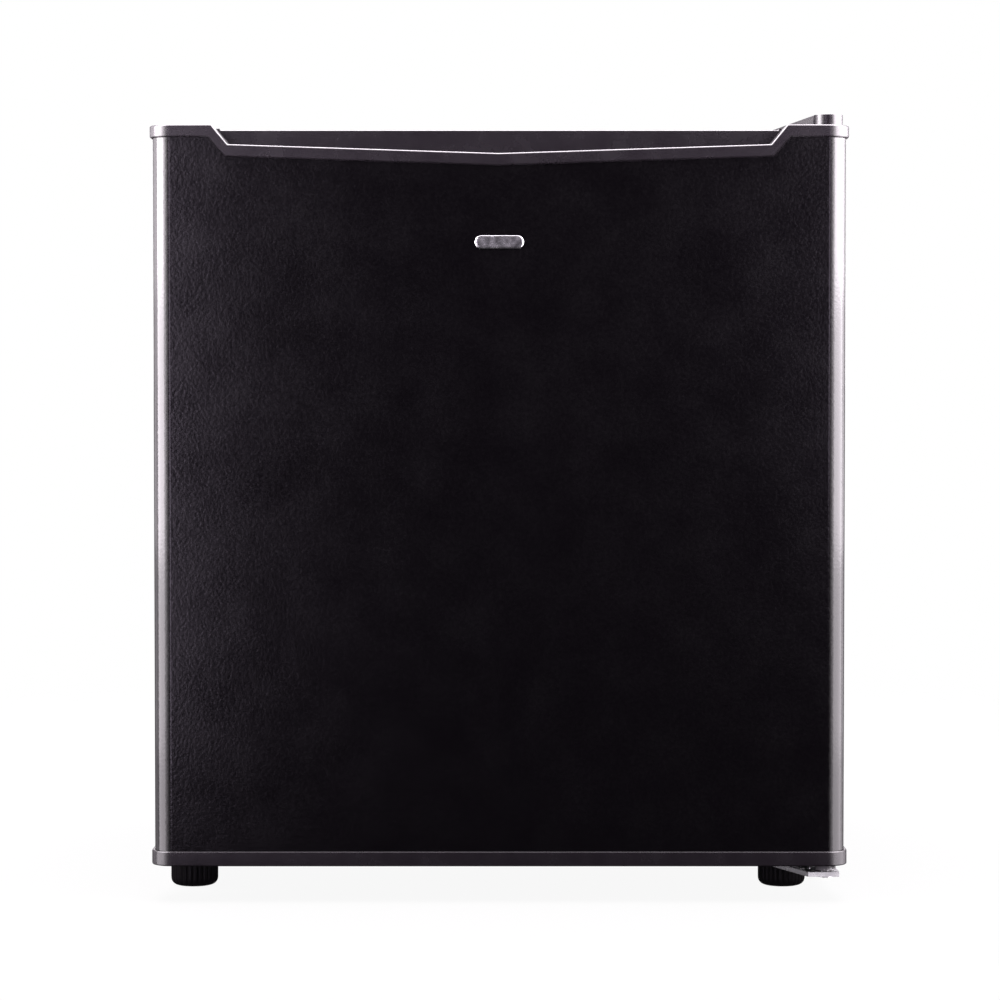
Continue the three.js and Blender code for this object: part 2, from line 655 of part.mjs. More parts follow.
// ---------------------------------------------------------------- condenser and pipes
const COIL_Y = CABINET_DEPTH + CONDENSER_SPACE - COIL_RADIUS - WIRE + 0.3;
const COIL_HALF = HALF - 42;
const COIL_LOW = BAY_HEIGHT + 40;
const COIL_BEND = COIL_PITCH / 2;
const COIL_TOP = COIL_LOW + (COIL_ROWS - 1) * COIL_PITCH;
const TAIL_LOW = BAY_HEIGHT - 26;
const TAIL_X = COIL_HALF - 15;
const COIL_END = (COIL_ROWS % 2 ? -1 : 1) * (COIL_HALF + COIL_BEND);

// Serpentine tube with upright wires welded across it on both faces.
function condenser() {
  const corners = [
    [TAIL_X, COIL_Y, TAIL_LOW],
    [TAIL_X, COIL_Y, COIL_LOW],
  ];
  for (let row = 0; row < COIL_ROWS; row++) {
    const z = COIL_LOW + row * COIL_PITCH;
    const side = row % 2 ? 1 : -1;
    if (row) corners.push([-side * COIL_HALF, COIL_Y, z]);
    corners.push([side * COIL_HALF, COIL_Y, z]);
  }
  corners[corners.length - 1][0] = COIL_END;
  let coil = pipe(corners, COIL_RADIUS, COIL_BEND, 6, 3);
  const span = 2 * (COIL_HALF - 12);
  const [low, high] = [COIL_LOW - 8, COIL_TOP + 8];
  for (let i = 0; i < WIRE_COUNT; i++) {
    const x = -span / 2 + (span * i) / (WIRE_COUNT - 1);
    const y = i % 2 ? COIL_Y + COIL_RADIUS - 0.3 : COIL_Y - COIL_RADIUS + 0.3 - WIRE;
    coil = coil.add(block(x - WIRE / 2, x + WIRE / 2, y, y + WIRE, low, high));
  }
  return piece("condenser", coil, BLACK_STEEL);
}
cabinet.add(condenser());

// Folded strip on each side that holds the condenser off the back panel by two clips.
const CLIP_ROWS = [1, COIL_ROWS - 2];
function condenserBracket(name, x) {
  const [low, high] = CLIP_ROWS.map((row) => COIL_LOW + row * COIL_PITCH);
  const foot = CABINET_DEPTH + GAP;
  let bracket = block(-8, 8, foot, foot + 2, low - 14, high + 14);
  for (const z of [low, high]) {
    bracket = bracket.add(block(-5, 5, foot, COIL_Y + COIL_RADIUS + 1, z - 6, z + 6));
    bracket = bracket.subtract(rod("x", COIL_RADIUS + 0.5, -20, 20, COIL_Y, z, 10));
  }
  return piece(name, bracket, BLACK_PLASTIC, x);
}
const BRACKET_X = COIL_HALF - 40;
cabinet.add(condenserBracket("condenser_bracket_left", -BRACKET_X));
cabinet.add(condenserBracket("condenser_bracket_right", BRACKET_X));

// Hot gas line from the compressor to the condenser's tail.
function dischargeTube() {
  const z = COMPRESSOR_LOW + COMPRESSOR_HEIGHT * 0.62;
  const tube = pipe(
    [
      [COMPRESSOR_X + COMPRESSOR_RADIUS + GAP, COMPRESSOR_Y, z],
      [COMPRESSOR_X + COMPRESSOR_RADIUS + 24, COMPRESSOR_Y, z],
      [TAIL_X, COMPRESSOR_Y + 10, z],
      [TAIL_X, COIL_Y, z],
      [TAIL_X, COIL_Y, TAIL_LOW - GAP],
    ],
    COIL_RADIUS,
    14,
  );
  return piece("discharge_tube", tube, COPPER);
}
cabinet.add(dischargeTube());

// Filter drier with its copper tail: a filled can between the condenser and the capillary.
const DRIER = { x: -132, y: COMPRESSOR_Y + 22, z: 42, radius: 9, length: 74 };
function filterDrier() {
  const { radius: r, length: h } = DRIER;
  const can = turned(
    [
      [0, 0],
      [2, 0],
      [r, 9],
      [r, h - 10],
      [3, h],
      [0, h],
    ],
    14,
  );
  return piece("filter_drier", can, COPPER, DRIER.x, DRIER.y, DRIER.z);
}
cabinet.add(filterDrier());

// Liquid line: leaves the condenser's top, comes down beside it and enters the drier.
function liquidTube() {
  const side = COIL_END + Math.sign(COIL_END) * GAP;
  const out = side + Math.sign(side) * 12;
  const crossing = BAY_HEIGHT - 12;
  const tube = pipe(
    [
      [side, COIL_Y, COIL_TOP],
      [out, COIL_Y, COIL_TOP],
      [out, COIL_Y, crossing],
      [out, DRIER.y, crossing],
      [DRIER.x, DRIER.y, crossing],
      [DRIER.x, DRIER.y, DRIER.z + DRIER.length + GAP],
    ],
    2,
    9,
  );
  return piece("liquid_tube", tube, COPPER);
}
cabinet.add(liquidTube());

// Thin capillary: two spare loops, then up through the bay's ceiling into the foam.
function capillaryTube() {
  const [x, y] = CAPILLARY_HOLE;
  const start = DRIER.z - GAP;
  const corners = [
    [DRIER.x, DRIER.y, start],
    [DRIER.x, DRIER.y, start - 10],
    [DRIER.x + 18, DRIER.y - 6, start - 14],
  ];
  const loop = { x: DRIER.x + 34, y: DRIER.y - 30, r: 17, turns: 2 };
  for (let i = 0; i <= loop.turns * 8; i++) {
    const angle = Math.PI / 2 - (i / 8) * Math.PI * 2;
    const place = [loop.x + loop.r * Math.cos(angle), loop.y + loop.r * Math.sin(angle)];
    corners.push([...place, start - 10 + i * 1.1]);
  }
  corners.push([x, y + 6, BAY_HEIGHT * 0.55]);
  corners.push([x, y, BAY_HEIGHT * 0.7]);
  corners.push([x, y, BAY_HEIGHT + 12]);
  return piece("capillary_tube", pipe(corners, CAPILLARY_RADIUS, 9, 6, 2), COPPER);
}
cabinet.add(capillaryTube());

// Suction line: cold gas back from the freezer box to the compressor.
function suctionTube() {
  const [x, y] = SUCTION_HOLE;
  const z = COMPRESSOR_LOW + COMPRESSOR_HEIGHT * 0.84;
  const reach = COMPRESSOR_RADIUS * 0.94;
  const tube = pipe(
    [
      [x, y, BAY_HEIGHT + 12],
      [x, y, z],
      [COMPRESSOR_X - reach - 8, COMPRESSOR_Y, z],
      [COMPRESSOR_X - reach + 2, COMPRESSOR_Y, z],
    ],
    SUCTION_RADIUS,
    11,
  );
  const can = rod("z", reach + GAP, 0, BAY_HEIGHT, COMPRESSOR_X, COMPRESSOR_Y, 24);
  return piece("suction_tube", tube.subtract(can), COPPER);
}
cabinet.add(suctionTube());

// ---------------------------------------------------------------- freezer box
const FREEZER_LEFT = -SPACE_HALF + FREEZER_INSET;
const FREEZER_RIGHT = FREEZER_LEFT + FREEZER_WIDTH;
const FREEZER_BACK = SPACE_BACK - FREEZER_REAR_GAP;

// Roll-bonded aluminium box: the evaporator, and at the same time the freezer's walls.
function evaporator() {
  const t = FREEZER_SHEET;
  const [x0, x1, z0, z1] = [FREEZER_LEFT, FREEZER_RIGHT, FREEZER_FLOOR, FREEZER_TOP];
  const box = block(x0, x1, FREEZER_SETBACK, FREEZER_BACK, z0, z1);
  const inside = block(x0 + t, x1 - t, FREEZER_SETBACK - 1, FREEZER_BACK - t, z0 + t, z1 - t);
  return piece("evaporator", box.subtract(inside), ALUMINIUM);
}
cabinet.add(evaporator());

const FRAME_RIM = 9;
const FLAP_ROOM = 1;
const FRAME_BACK = FREEZER_SETBACK - GAP;
const FRAME_FRONT = FRAME_BACK - FRAME_DEPTH;
const FRAME_LEFT = FREEZER_LEFT - FRAME_MARGIN;
const FRAME_RIGHT = FREEZER_RIGHT + FRAME_MARGIN;
const WINDOW = {
  x0: FRAME_LEFT + FRAME_RIM,
  x1: FRAME_RIGHT - FRAME_RIM,
  z0: FRAME_LOW + FRAME_RIM,
  z1: FREEZER_TOP - 4,
};
const PIVOT_DROP = 5.5;
const PIVOT_RADIUS = 2;
const PIVOT_ROOM = 0.4;
const FLAP_Y = FRAME_FRONT + FLAP / 2 + 0.5;
const FLAP_Z = WINDOW.z1 - PIVOT_DROP;

// Moulded surround of the freezer's mouth, with the seats for the flap's pivots.
function freezerFrame() {
  const { x0, x1, z0, z1 } = WINDOW;
  let frame = block(FRAME_LEFT, FRAME_RIGHT, FRAME_FRONT, FRAME_BACK, FRAME_LOW, FREEZER_TOP);
  const lipY = FLAP_Y + FLAP / 2 + 0.6;
  frame = frame.subtract(block(x0, x1, FRAME_FRONT - 1, lipY, z0, z1));
  frame = frame.subtract(block(x0 + 3, x1 - 3, lipY - 1, FRAME_BACK + 1, z0 + 3, z1));
  frame = frame.subtract(block(x0, x1, lipY - 1, FRAME_BACK + 1, FLAP_Z - 9, z1));
  const seat = PIVOT_RADIUS + PIVOT_ROOM;
  frame = frame.subtract(rod("x", seat, x0 - 5, x1 + 5, FLAP_Y, FLAP_Z, 12));
  return piece("freezer_frame", frame, WHITE_PLASTIC);
}
cabinet.add(freezerFrame());

// Freezer flap, hung from two pivots moulded on its top edge. Its origin is on the pivot line.
function freezerFlap() {
  const { x0, x1, z0 } = WINDOW;
  const half = (x1 - x0) / 2 - FLAP_ROOM;
  const low = z0 - FLAP_Z + FLAP_ROOM;
  const high = PIVOT_DROP - FLAP_ROOM - 0.3;
  let flap = block(-half, half, -FLAP / 2, FLAP / 2, low, high);
  flap = flap.subtract(block(-half + 8, half - 8, FLAP / 2 - 1.6, FLAP, low + 8, -6));
  flap = flap.add(block(-26, 26, -FLAP / 2 - 7, -FLAP / 2 + 1, low + 6, low + 9));
  flap = flap.add(rod("x", PIVOT_RADIUS, -half - 4.5, half + 4.5, 0, 0, 12));
  const x = (x0 + x1) / 2;
  return piece("freezer_flap", flap, CLEAR_PLASTIC, x, FRONT_Y + FLAP_Y, GROUND_CLEARANCE + FLAP_Z);
}

// Pair of rails under the box, joined at the back; the drip tray hangs in them by its rims.
const RAIL_WEB = 2;
const RAIL_INSET = 4;
const RIM = 5;
const RAIL_ROOM = 1;
const RIM_THICK = 2;
function trayRails() {
  const low = TRAY_TOP - RIM_THICK - GAP - RAIL_WEB;
  const high = FREEZER_FLOOR - GAP;
  const back = FREEZER_BACK - 4;
  const front = FREEZER_SETBACK + 2;
  const half = FREEZER_WIDTH / 2 - RAIL_INSET;
  const lip = half - RAIL_WEB - RIM;
  let rails = block(-half, half, front, back, low, high);
  rails = rails.subtract(block(-lip, lip, front - 1, back - RAIL_WEB, low - 1, high + 1));
  const web = half - RAIL_WEB;
  rails = rails.subtract(block(-web, web, front - 1, back - RAIL_WEB, low + RAIL_WEB, high + 1));
  return piece("tray_rails", rails, WHITE_PLASTIC, (FREEZER_LEFT + FREEZER_RIGHT) / 2);
}
cabinet.add(trayRails());

const TRAY_FRONT_Y = FREEZER_SETBACK - 6;
const TRAY_BACK_Y = FREEZER_BACK - 14;
const RIM_HALF = FREEZER_WIDTH / 2 - RAIL_INSET - RAIL_WEB - RAIL_ROOM;
function dripTray() {
  const half = RIM_HALF - RIM;
  const depth = TRAY_BACK_Y - TRAY_FRONT_Y;
  const wall = 1.8;
  let tray = block(-half, half, 0, depth, -TRAY_HEIGHT, 0);
  tray = tray.add(block(-RIM_HALF, RIM_HALF, 10, depth, -RIM_THICK, 0));
  tray = tray.subtract(block(-half + wall, half - wall, wall, depth - wall, -TRAY_HEIGHT + wall, 1));
  tray = tray.add(block(-30, 30, -8, 1, -TRAY_HEIGHT, -TRAY_HEIGHT + 3));
  const x = (FREEZER_LEFT + FREEZER_RIGHT) / 2;
  return piece("drip_tray", tray, CLEAR_PLASTIC, x, FRONT_Y + TRAY_FRONT_Y, GROUND_CLEARANCE + TRAY_TOP);
}

// ---------------------------------------------------------------- thermostat
const CONTROL = { width: 96, depth: 84, height: 58, wall: 2, setback: 138 };
const CONTROL_X = (FRAME_RIGHT + SPACE_HALF) / 2;
const SHAFT_RADIUS = 3;
const KNOB_RADIUS = 17;
const KNOB_DEPTH = 15;
const KNOB_Z = SPACE_TOP - CONTROL.height / 2 - 2;
const KNOB_Y = CONTROL.setback - GAP;
const CONTROL_HALF = Math.min(CONTROL.width / 2, (SPACE_HALF - FRAME_RIGHT) / 2 - 3);
const SENSOR_HOLE_Z = SPACE_TOP - 20;

// Housing screwed to the ceiling of the food space, open at the top.
function thermostatHousing() {
  const { depth, height, wall, setback } = CONTROL;
  const top = SPACE_TOP - GAP;
  const half = CONTROL_HALF;
  const outline = rounded(-half, half, top - height, top, [8, 8, 0, 0]);
  const inner = rounded(-half + wall, half - wall, top - height + wall, top + 1, [6, 6, 0, 0]);
  let housing = frontView(outline, setback, setback + depth, 3);
  housing = housing.subtract(frontView(inner, setback + wall, setback + depth - wall, 3));
  const bore = SHAFT_RADIUS + 0.6;
  housing = housing.subtract(rod("y", bore, setback - 2, setback + wall + 2, 0, KNOB_Z, 14));
  const back = setback + depth;
  housing = housing.subtract(rod("y", 2.5, back - wall - 2, back + 2, 0, SENSOR_HOLE_Z, 10));
  return piece("thermostat_housing", housing, WHITE_PLASTIC, CONTROL_X);
}
cabinet.add(thermostatHousing());

// The switch itself: a metal can with its bellows, behind the knob.
const SWITCH_FRONT = CONTROL.setback + CONTROL.wall + GAP;
function thermostatSwitch() {
  let body = block(-21, 21, SWITCH_FRONT, SWITCH_FRONT + 30, KNOB_Z - 15, KNOB_Z + 15);
  body = body.add(rod("y", 11, SWITCH_FRONT + 29, SWITCH_FRONT + 38, 0, KNOB_Z, 16));
  const bore = SHAFT_RADIUS + 0.6;
  body = body.subtract(rod("y", bore, SWITCH_FRONT - 1, SWITCH_FRONT + 8, 0, KNOB_Z, 14));
  return piece("thermostat_switch", body, ZINC, CONTROL_X);
}
cabinet.add(thermostatSwitch());

// Gas-filled sensing tube from the switch, out of the housing and along the freezer box.
function sensorTube() {
  const start = SWITCH_FRONT + 38 + GAP;
  const out = CONTROL.setback + CONTROL.depth + 10;
  const edge = FREEZER_RIGHT + 3;
  const tube = pipe(
    [
      [CONTROL_X, start, KNOB_Z],
      [CONTROL_X, start + 14, KNOB_Z],
      [CONTROL_X, start + 22, SENSOR_HOLE_Z],
      [CONTROL_X, out, SENSOR_HOLE_Z],
      [edge, out + 6, SENSOR_HOLE_Z - 16],
      [edge, FREEZER_BACK - 8, SENSOR_HOLE_Z - 16],
    ],
    1.2,
    6,
    6,
    3,
  );
  return piece("sensor_tube", tube, COPPER);
}
cabinet.add(sensorTube());

// Knob with its pointer rib, pressed on the switch's shaft. Its origin is on the turning axis.
function thermostatKnob() {
  let knob = rod("y", KNOB_RADIUS, -4, 0, 0, 0, 28);
  knob = knob.add(rod("y", KNOB_RADIUS - 4, -KNOB_DEPTH, -3, 0, 0, 24));
  knob = knob.add(block(-3, 3, -KNOB_DEPTH - 2, -3, -KNOB_RADIUS + 2, KNOB_RADIUS - 1));
  knob = knob.add(rod("y", SHAFT_RADIUS, -1, CONTROL.wall + 7, 0, 0, 14));
  const y = FRONT_Y + KNOB_Y;
  return piece("thermostat_knob", knob, WHITE_PLASTIC, CONTROL_X, y, GROUND_CLEARANCE + KNOB_Z);
}

// ---------------------------------------------------------------- shelves
const SHELF_SIDE_GAP = 2.5;
const SHELF_HALF = SPACE_HALF - SHELF_SIDE_GAP;
const SHELF_BACK = SPACE_BACK - 6;
const TRIM = 9;
// Toughened glass plate, and the moulded trim that grips its front edge.
function shelf(number, level) {
  const group = groupAt(0, FRONT_Y + SHELF_SETBACK, GROUND_CLEARANCE + level);
  const depth = SHELF_BACK - SHELF_SETBACK;
  const glass = block(-SHELF_HALF, SHELF_HALF, GLASS_INSET, depth, 0, GLASS);
  group.add(piece(`shelf_${number}_glass`, glass, SHELF_GLASS));
  const trimHalf = SPACE_HALF - RIB_REACH - 2;
  const outline = rounded(-1, TRIM, -4, GLASS + 3, [2, 2, 2, 2]);
  let trim = sideView(outline, -trimHalf, trimHalf, 3);
  trim = trim.subtract(block(-HALF, HALF, GLASS_INSET - GAP, TRIM + 1, -GAP, GLASS + GAP));
  group.add(piece(`shelf_${number}_trim`, trim, WHITE_PLASTIC));
  return group;
}

// ---------------------------------------------------------------- hinges
const RAISED = GAP + 1.2; // hinge plate above the door's top
const PLATE_LOW = CABINET_HEIGHT + GAP;
const PLATE_STEP = DOOR_RISE + RAISED - GAP;

// A plate seen from the side: flat at the back, and stepped by a rise ahead of a given line.
function steppedPlate(front, back, z, rise, thick, step = -2) {
  const top = z + thick;
  return polygon([
    [front, z + rise],
    [step - 7, z + rise],
    [step, z],
    [back, z],
    [back, top],
    [step, top],
    [step - 7, top + rise],
    [front, top + rise],
  ]);
}

const BUSH_DEPTH = 14;
const PIN_REACH = 12; // pin inside the door
const PIN_HEAD = 1.2;
const DOOR_TOP = CABINET_HEIGHT + DOOR_RISE;
const UPPER_PLATE_TOP = PLATE_LOW + PLATE_STEP + HINGE_PLATE;
const hingePin = (z0, z1) => rod("z", PIN_RADIUS, z0, z1, HINGE_X, HINGE_Y, 16);
const rivetHead = (z0, z1) => rod("z", PIN_RADIUS + 1.5, z0, z1, HINGE_X, HINGE_Y, 16);

// Upper hinge plate, screwed to the cabinet's top, with its pin riveted through the nose.
const UPPER_BACK = 48;
const NOSE = 7;
const PLATE_LEFT = HALF - 34;
const COVER_ROOM = 1;
const COVER_WALL = 1.4;
const noseOutline = (grow, left) => {
  const s = new THREE.Shape();
  const r = NOSE + grow;
  const side = Math.min(HINGE_X + r, HALF - 1.5 - COVER_ROOM - COVER_WALL + grow);
  s.moveTo(HINGE_X + r, HINGE_Y);
  s.lineTo(HINGE_X + r, -13);
  s.lineTo(side, -5);
  s.lineTo(side, UPPER_BACK + grow);
  s.lineTo(left, UPPER_BACK + grow);
  s.lineTo(left, 18 - grow);
  s.absarc(HINGE_X, HINGE_Y, r, Math.PI * 0.93, Math.PI * 2, false);
  return s;
};
function upperHingePlate() {
  const profile = steppedPlate(HINGE_Y - 20, UPPER_BACK + 5, PLATE_LOW, PLATE_STEP, HINGE_PLATE);
  let plate = sideView(profile, 0, HALF + 20);
  plate = plate.intersect(planView(noseOutline(0, PLATE_LEFT), PLATE_LOW - 10, PLATE_LOW + 20, 8));
  plate = plate.add(hingePin(DOOR_TOP - PIN_REACH, UPPER_PLATE_TOP));
  plate = plate.add(rivetHead(UPPER_PLATE_TOP - 1, UPPER_PLATE_TOP + PIN_HEAD));
  for (const [x, y] of UPPER_SCREWS) {
    const hole = SCREW_SHANK + SCREW_ROOM;
    plate = plate.subtract(rod("z", hole, PLATE_LOW - 9, PLATE_LOW + 19, x, y, 10));
  }
  return piece("upper_hinge_plate", plate, ZINC);
}
cabinet.add(upperHingePlate());

// Pan-head screw, pointing down from its head at z = 0.
const SCREW_HEAD = 4.2;
function screw(name, x, y, z, up) {
  const head = 2.2;
  const shape = turned(
    [
      [0, -SCREW_LENGTH],
      [0.6, -SCREW_LENGTH],
      [SCREW_SHANK, -SCREW_LENGTH + 3],
      [SCREW_SHANK, 0],
      [SCREW_HEAD, 0],
      [SCREW_HEAD, head * 0.5],
      [SCREW_HEAD * 0.6, head],
      [0, head],
    ],
    10,
  );
  const mesh = piece(name, shape, ZINC, x, y, z);
  if (up) mesh.rotation.x = Math.PI;
  return mesh;
}
UPPER_SCREWS.forEach(([x, y], i) =>
  cabinet.add(screw(`upper_hinge_screw_${i + 1}`, x, y, PLATE_LOW + HINGE_PLATE + GAP, false)),
);

// Snap-on cover: a round hump over the pin, with a flank that slopes down to the left.
const COVER_TOP = UPPER_PLATE_TOP + 3.6;
const COVER_LEFT = HALF - 47;
const COVER_GAP = 0.6; // over the door and the cabinet
function upperHingeCover() {
  const grow = COVER_ROOM + COVER_WALL;
  const low = CABINET_HEIGHT + COVER_GAP;
  const shoulder = HINGE_X - NOSE - grow;
  const far = [HINGE_Y - 40, UPPER_BACK + 40];
  const wedge = (drop, edge) =>
    frontView(
      polygon([
        [COVER_LEFT + edge, low - 20],
        [HALF + 30, low - 20],
        [HALF + 30, COVER_TOP - drop],
        [shoulder, COVER_TOP - drop],
        [COVER_LEFT + edge, low + 0.5 - drop / 2],
      ]),
      ...far,
    );
  const outline = (inset) => planView(noseOutline(grow - inset, COVER_LEFT), low - inset * 9, 999, 8);
  const hollow = outline(COVER_WALL).intersect(wedge(COVER_WALL, 2 * COVER_WALL));
  const overDoor = block(0, HALF + 40, far[0], -4, low - 6, DOOR_TOP + COVER_GAP);
  const cover = outline(0).intersect(wedge(0, 0)).subtract(hollow).subtract(overDoor);
  return piece("upper_hinge_cover", cover, BLACK_PLASTIC);
}
cabinet.add(upperHingeCover());

// Lower hinge plate: bolted under the cabinet, stepped down to pass below the door.
const LOWER_PLATE_TOP = -DOOR_DROP - GAP - WASHER_HEIGHT - GAP; // under the washer
const LOWER_DROP = -GAP - LOWER_PLATE_TOP;
const LOWER_BACK = 62;
const LOWER_STEP = 9; // where the plate steps down, behind the cabinet's front
function lowerHingePlate() {
  const [low0, back, front] = [-GAP - LOWER_PLATE, LOWER_BACK, HINGE_Y - 20];
  const profile = steppedPlate(front, back, low0, -LOWER_DROP, LOWER_PLATE, LOWER_STEP);
  const side = HALF - 0.5;
  const outline = polygon([
    [side, HINGE_Y - 9],
    [HINGE_X - 12, HINGE_Y - 9],
    [HINGE_X - 33, LOWER_STEP - 2],
    [FOOT_RIGHT_X - 18, LOWER_STEP + 4],
    [FOOT_RIGHT_X - 18, LOWER_BACK - 4],
    [side, LOWER_BACK - 4],
  ]);
  let plate = sideView(profile, 0, HALF + 20).intersect(planView(outline, -40, 10));
  const [low, high] = [-30, 5];
  const stud = STUD_RADIUS + STUD_ROOM;
  plate = plate.subtract(rod("z", stud, low, high, FOOT_RIGHT_X, FOOT_SETBACK, 14));
  for (const [x, y] of LOWER_SCREWS)
    plate = plate.subtract(rod("z", SCREW_SHANK + SCREW_ROOM, low, high, x, y, 10));
  const under = LOWER_PLATE_TOP - LOWER_PLATE;
  plate = plate.add(hingePin(under, -DOOR_DROP + PIN_REACH));
  plate = plate.add(rivetHead(under - PIN_HEAD, under + 1));
  return piece("lower_hinge_plate", plate, ZINC);
}
cabinet.add(lowerHingePlate());

function hingeWasher() {
  const [bore, r] = [PIN_RADIUS + GAP, 6.5];
  const ring = turned(
    [
      [bore, 0],
      [r, 0],
      [r, WASHER_HEIGHT],
      [bore, WASHER_HEIGHT],
      [bore, 0],
    ],
    20,
  );
  return piece("hinge_washer", ring, WHITE_PLASTIC, HINGE_X, HINGE_Y, LOWER_PLATE_TOP + GAP);
}
cabinet.add(hingeWasher());
LOWER_SCREWS.forEach(([x, y], i) =>
  cabinet.add(screw(`lower_hinge_screw_${i + 1}`, x, y, -LOWER_PLATE - 2 * GAP, true)),
);

// ================================================================ door
// In the door's group y runs back from the caps' front face and z up from the door's bottom.
const door = groupAt(0, -DEPTH / 2, GROUND_CLEARANCE - DOOR_DROP);
const SKIN_FRONT = CAP_FRONT_PROUD;
const CAP_CORNER = SKIN_CORNER + CAP_PROUD;
const LINER_FRONT = DOOR_DEPTH - LINER;
const SKIN_BACK = LINER_FRONT - GAP;
const INNER_HALF = SKIN_HALF - SHEET - GAP; // what lies inside the skin
const INNER_FRONT = SKIN_FRONT + SHEET + GAP;
const INNER_CORNER = SKIN_CORNER - SHEET - GAP;

const capOutline = () =>
  rounded(-CAP_HALF, CAP_HALF, 0, SKIN_BACK, [CAP_CORNER, CAP_CORNER, 0, 0]);
const skinOutline = (inset, back) => {
  const half = SKIN_HALF - inset;
  const r = SKIN_CORNER - inset;
  return rounded(-half, half, SKIN_FRONT + inset, back, [r, r, 0, 0]);
};

// The top cap's band seen from the front: level at the ends, dipping to a shallow vee.
function dipPath(drop, lean) {
  const top = DOOR_HEIGHT - drop;
  return [
    [-GRIP_END - lean, top],
    [-GRIP_END + GRIP_SLOPE - lean, top - GRIP_DIP],
    [0, top - GRIP_DIP - GRIP_VEE],
    [GRIP_END - GRIP_SLOPE + lean, top - GRIP_DIP],
    [GRIP_END + lean, top],
  ];
}
const farAcross = CAP_HALF + 30;
const belowDip = (drop, lean, low) =>
  polygon([
    [-farAcross, low],
    [-farAcross, DOOR_HEIGHT - drop],
    ...dipPath(drop, lean),
    [farAcross, DOOR_HEIGHT - drop],
    [farAcross, low],
  ]);
const BAND_LEAN = 2;
const SKIN_TUCK = 4; // skin behind the bands
const VEE_LOW = DOOR_HEIGHT - GRIP_DIP - GRIP_VEE;
const POCKET_LOW = VEE_LOW - POCKET_FLOOR;
const CAP_LOW = POCKET_LOW - CAP_WALL;
const POCKET_HALF = GRIP_END - GRIP_SLOPE - 4;
const BUSH_RADIUS = 6.5;
const BUSH_BOSS = BUSH_RADIUS + 2.5;

// Front panel: one sheet with rounded upright edges, its sides folded in behind.
function doorSkin() {
  const low = SKIN_TUCK;
  let skin = planView(skinOutline(0, SKIN_BACK), low, DOOR_HEIGHT, 6);
  skin = skin.subtract(planView(skinOutline(SHEET, SKIN_BACK - SHEET), -5, DOOR_HEIGHT + 5, 6));
  const fold = SKIN_HALF - 11;
  skin = skin.subtract(block(-fold, fold, SKIN_BACK - 3, SKIN_BACK + 3, -5, DOOR_HEIGHT + 5));
  const edge = CAP_BAND - SKIN_TUCK;
  skin = skin.intersect(frontView(belowDip(edge, BAND_LEAN / 2, -20), -5, DOOR_DEPTH + 5));
  return piece("door_skin", skin, BLACK_PAINT);
}
door.add(doorSkin());

// Top cap: band, finger pocket and hinge seat in one moulding.
function doorTopCap() {
  const far = [-20, DOOR_DEPTH + 20];
  const body = planView(skinOutline(SHEET + GAP, SKIN_BACK - SHEET - GAP), CAP_LOW, DOOR_HEIGHT, 6);
  const front = POCKET_DEPTH;
  const shelfCut = block(-farAcross, farAcross, -20, front, CAP_LOW - 20, DOOR_HEIGHT + 20);
  const under = frontView(belowDip(0, 0, CAP_LOW - 20), ...far);
  const raised = body.intersect(under).add(body.subtract(shelfCut));
  const bandLow = frontView(belowDip(CAP_BAND, BAND_LEAN, -20), ...far);
  const band = planView(capOutline(), CAP_LOW, DOOR_HEIGHT, 6).subtract(bandLow);
  const bandFront = band.intersect(under);
  const wall = SKIN_FRONT + SHEET + 2 * GAP + CAP_WALL;
  const slot = planView(skinOutline(-GAP, SKIN_BACK + 5), -5, DOOR_HEIGHT - 3, 6)
    .subtract(planView(skinOutline(SHEET + GAP, SKIN_BACK - SHEET - GAP), -9, DOOR_HEIGHT, 6))
    .intersect(frontView(belowDip(CAP_BAND - SKIN_TUCK - GAP, BAND_LEAN / 2, -20), ...far));
  let cap = raised.add(bandFront.subtract(block(-farAcross, farAcross, wall, 99, 0, DOOR_HEIGHT + 9)));
  const sides = [-1, 1].map((side) => {
    const [a, b] = side < 0 ? [-farAcross, -SKIN_HALF + 4] : [SKIN_HALF - 4, farAcross];
    return bandFront.intersect(block(a, b, -20, 99, 0, DOOR_HEIGHT + 9));
  });
  cap = cap.add(sides[0]).add(sides[1]).subtract(slot);
  const pocket = block(-POCKET_HALF, POCKET_HALF, wall, front, POCKET_LOW, DOOR_HEIGHT + 9);
  cap = cap.subtract(pocket);
  const rim = GRIP_END - 3;
  cap = cap.subtract(block(-rim, rim, front - 1, 99, DOOR_HEIGHT - RIM_DROP, DOOR_HEIGHT + 9));
  for (const side of [-1, 1]) {
    const [a, b] = [side * (POCKET_HALF + CAP_WALL), side * (INNER_HALF - CAP_WALL - 6)];
    const [x0, x1] = a < b ? [a, b] : [b, a];
    const hollow = block(x0, x1, wall + 8, SKIN_BACK - 6, CAP_LOW - 5, DOOR_HEIGHT - BUSH_DEPTH - 4);
    cap = cap.subtract(hollow);
  }
  const seat = BUSH_RADIUS + GAP;
  cap = cap.subtract(
    rod("z", seat, DOOR_HEIGHT - BUSH_DEPTH - GAP, DOOR_HEIGHT + 5, HINGE_X, HINGE_SETBACK, 20),
  );
  return piece("door_top_cap", cap, BLACK_PLASTIC);
}
door.add(doorTopCap());

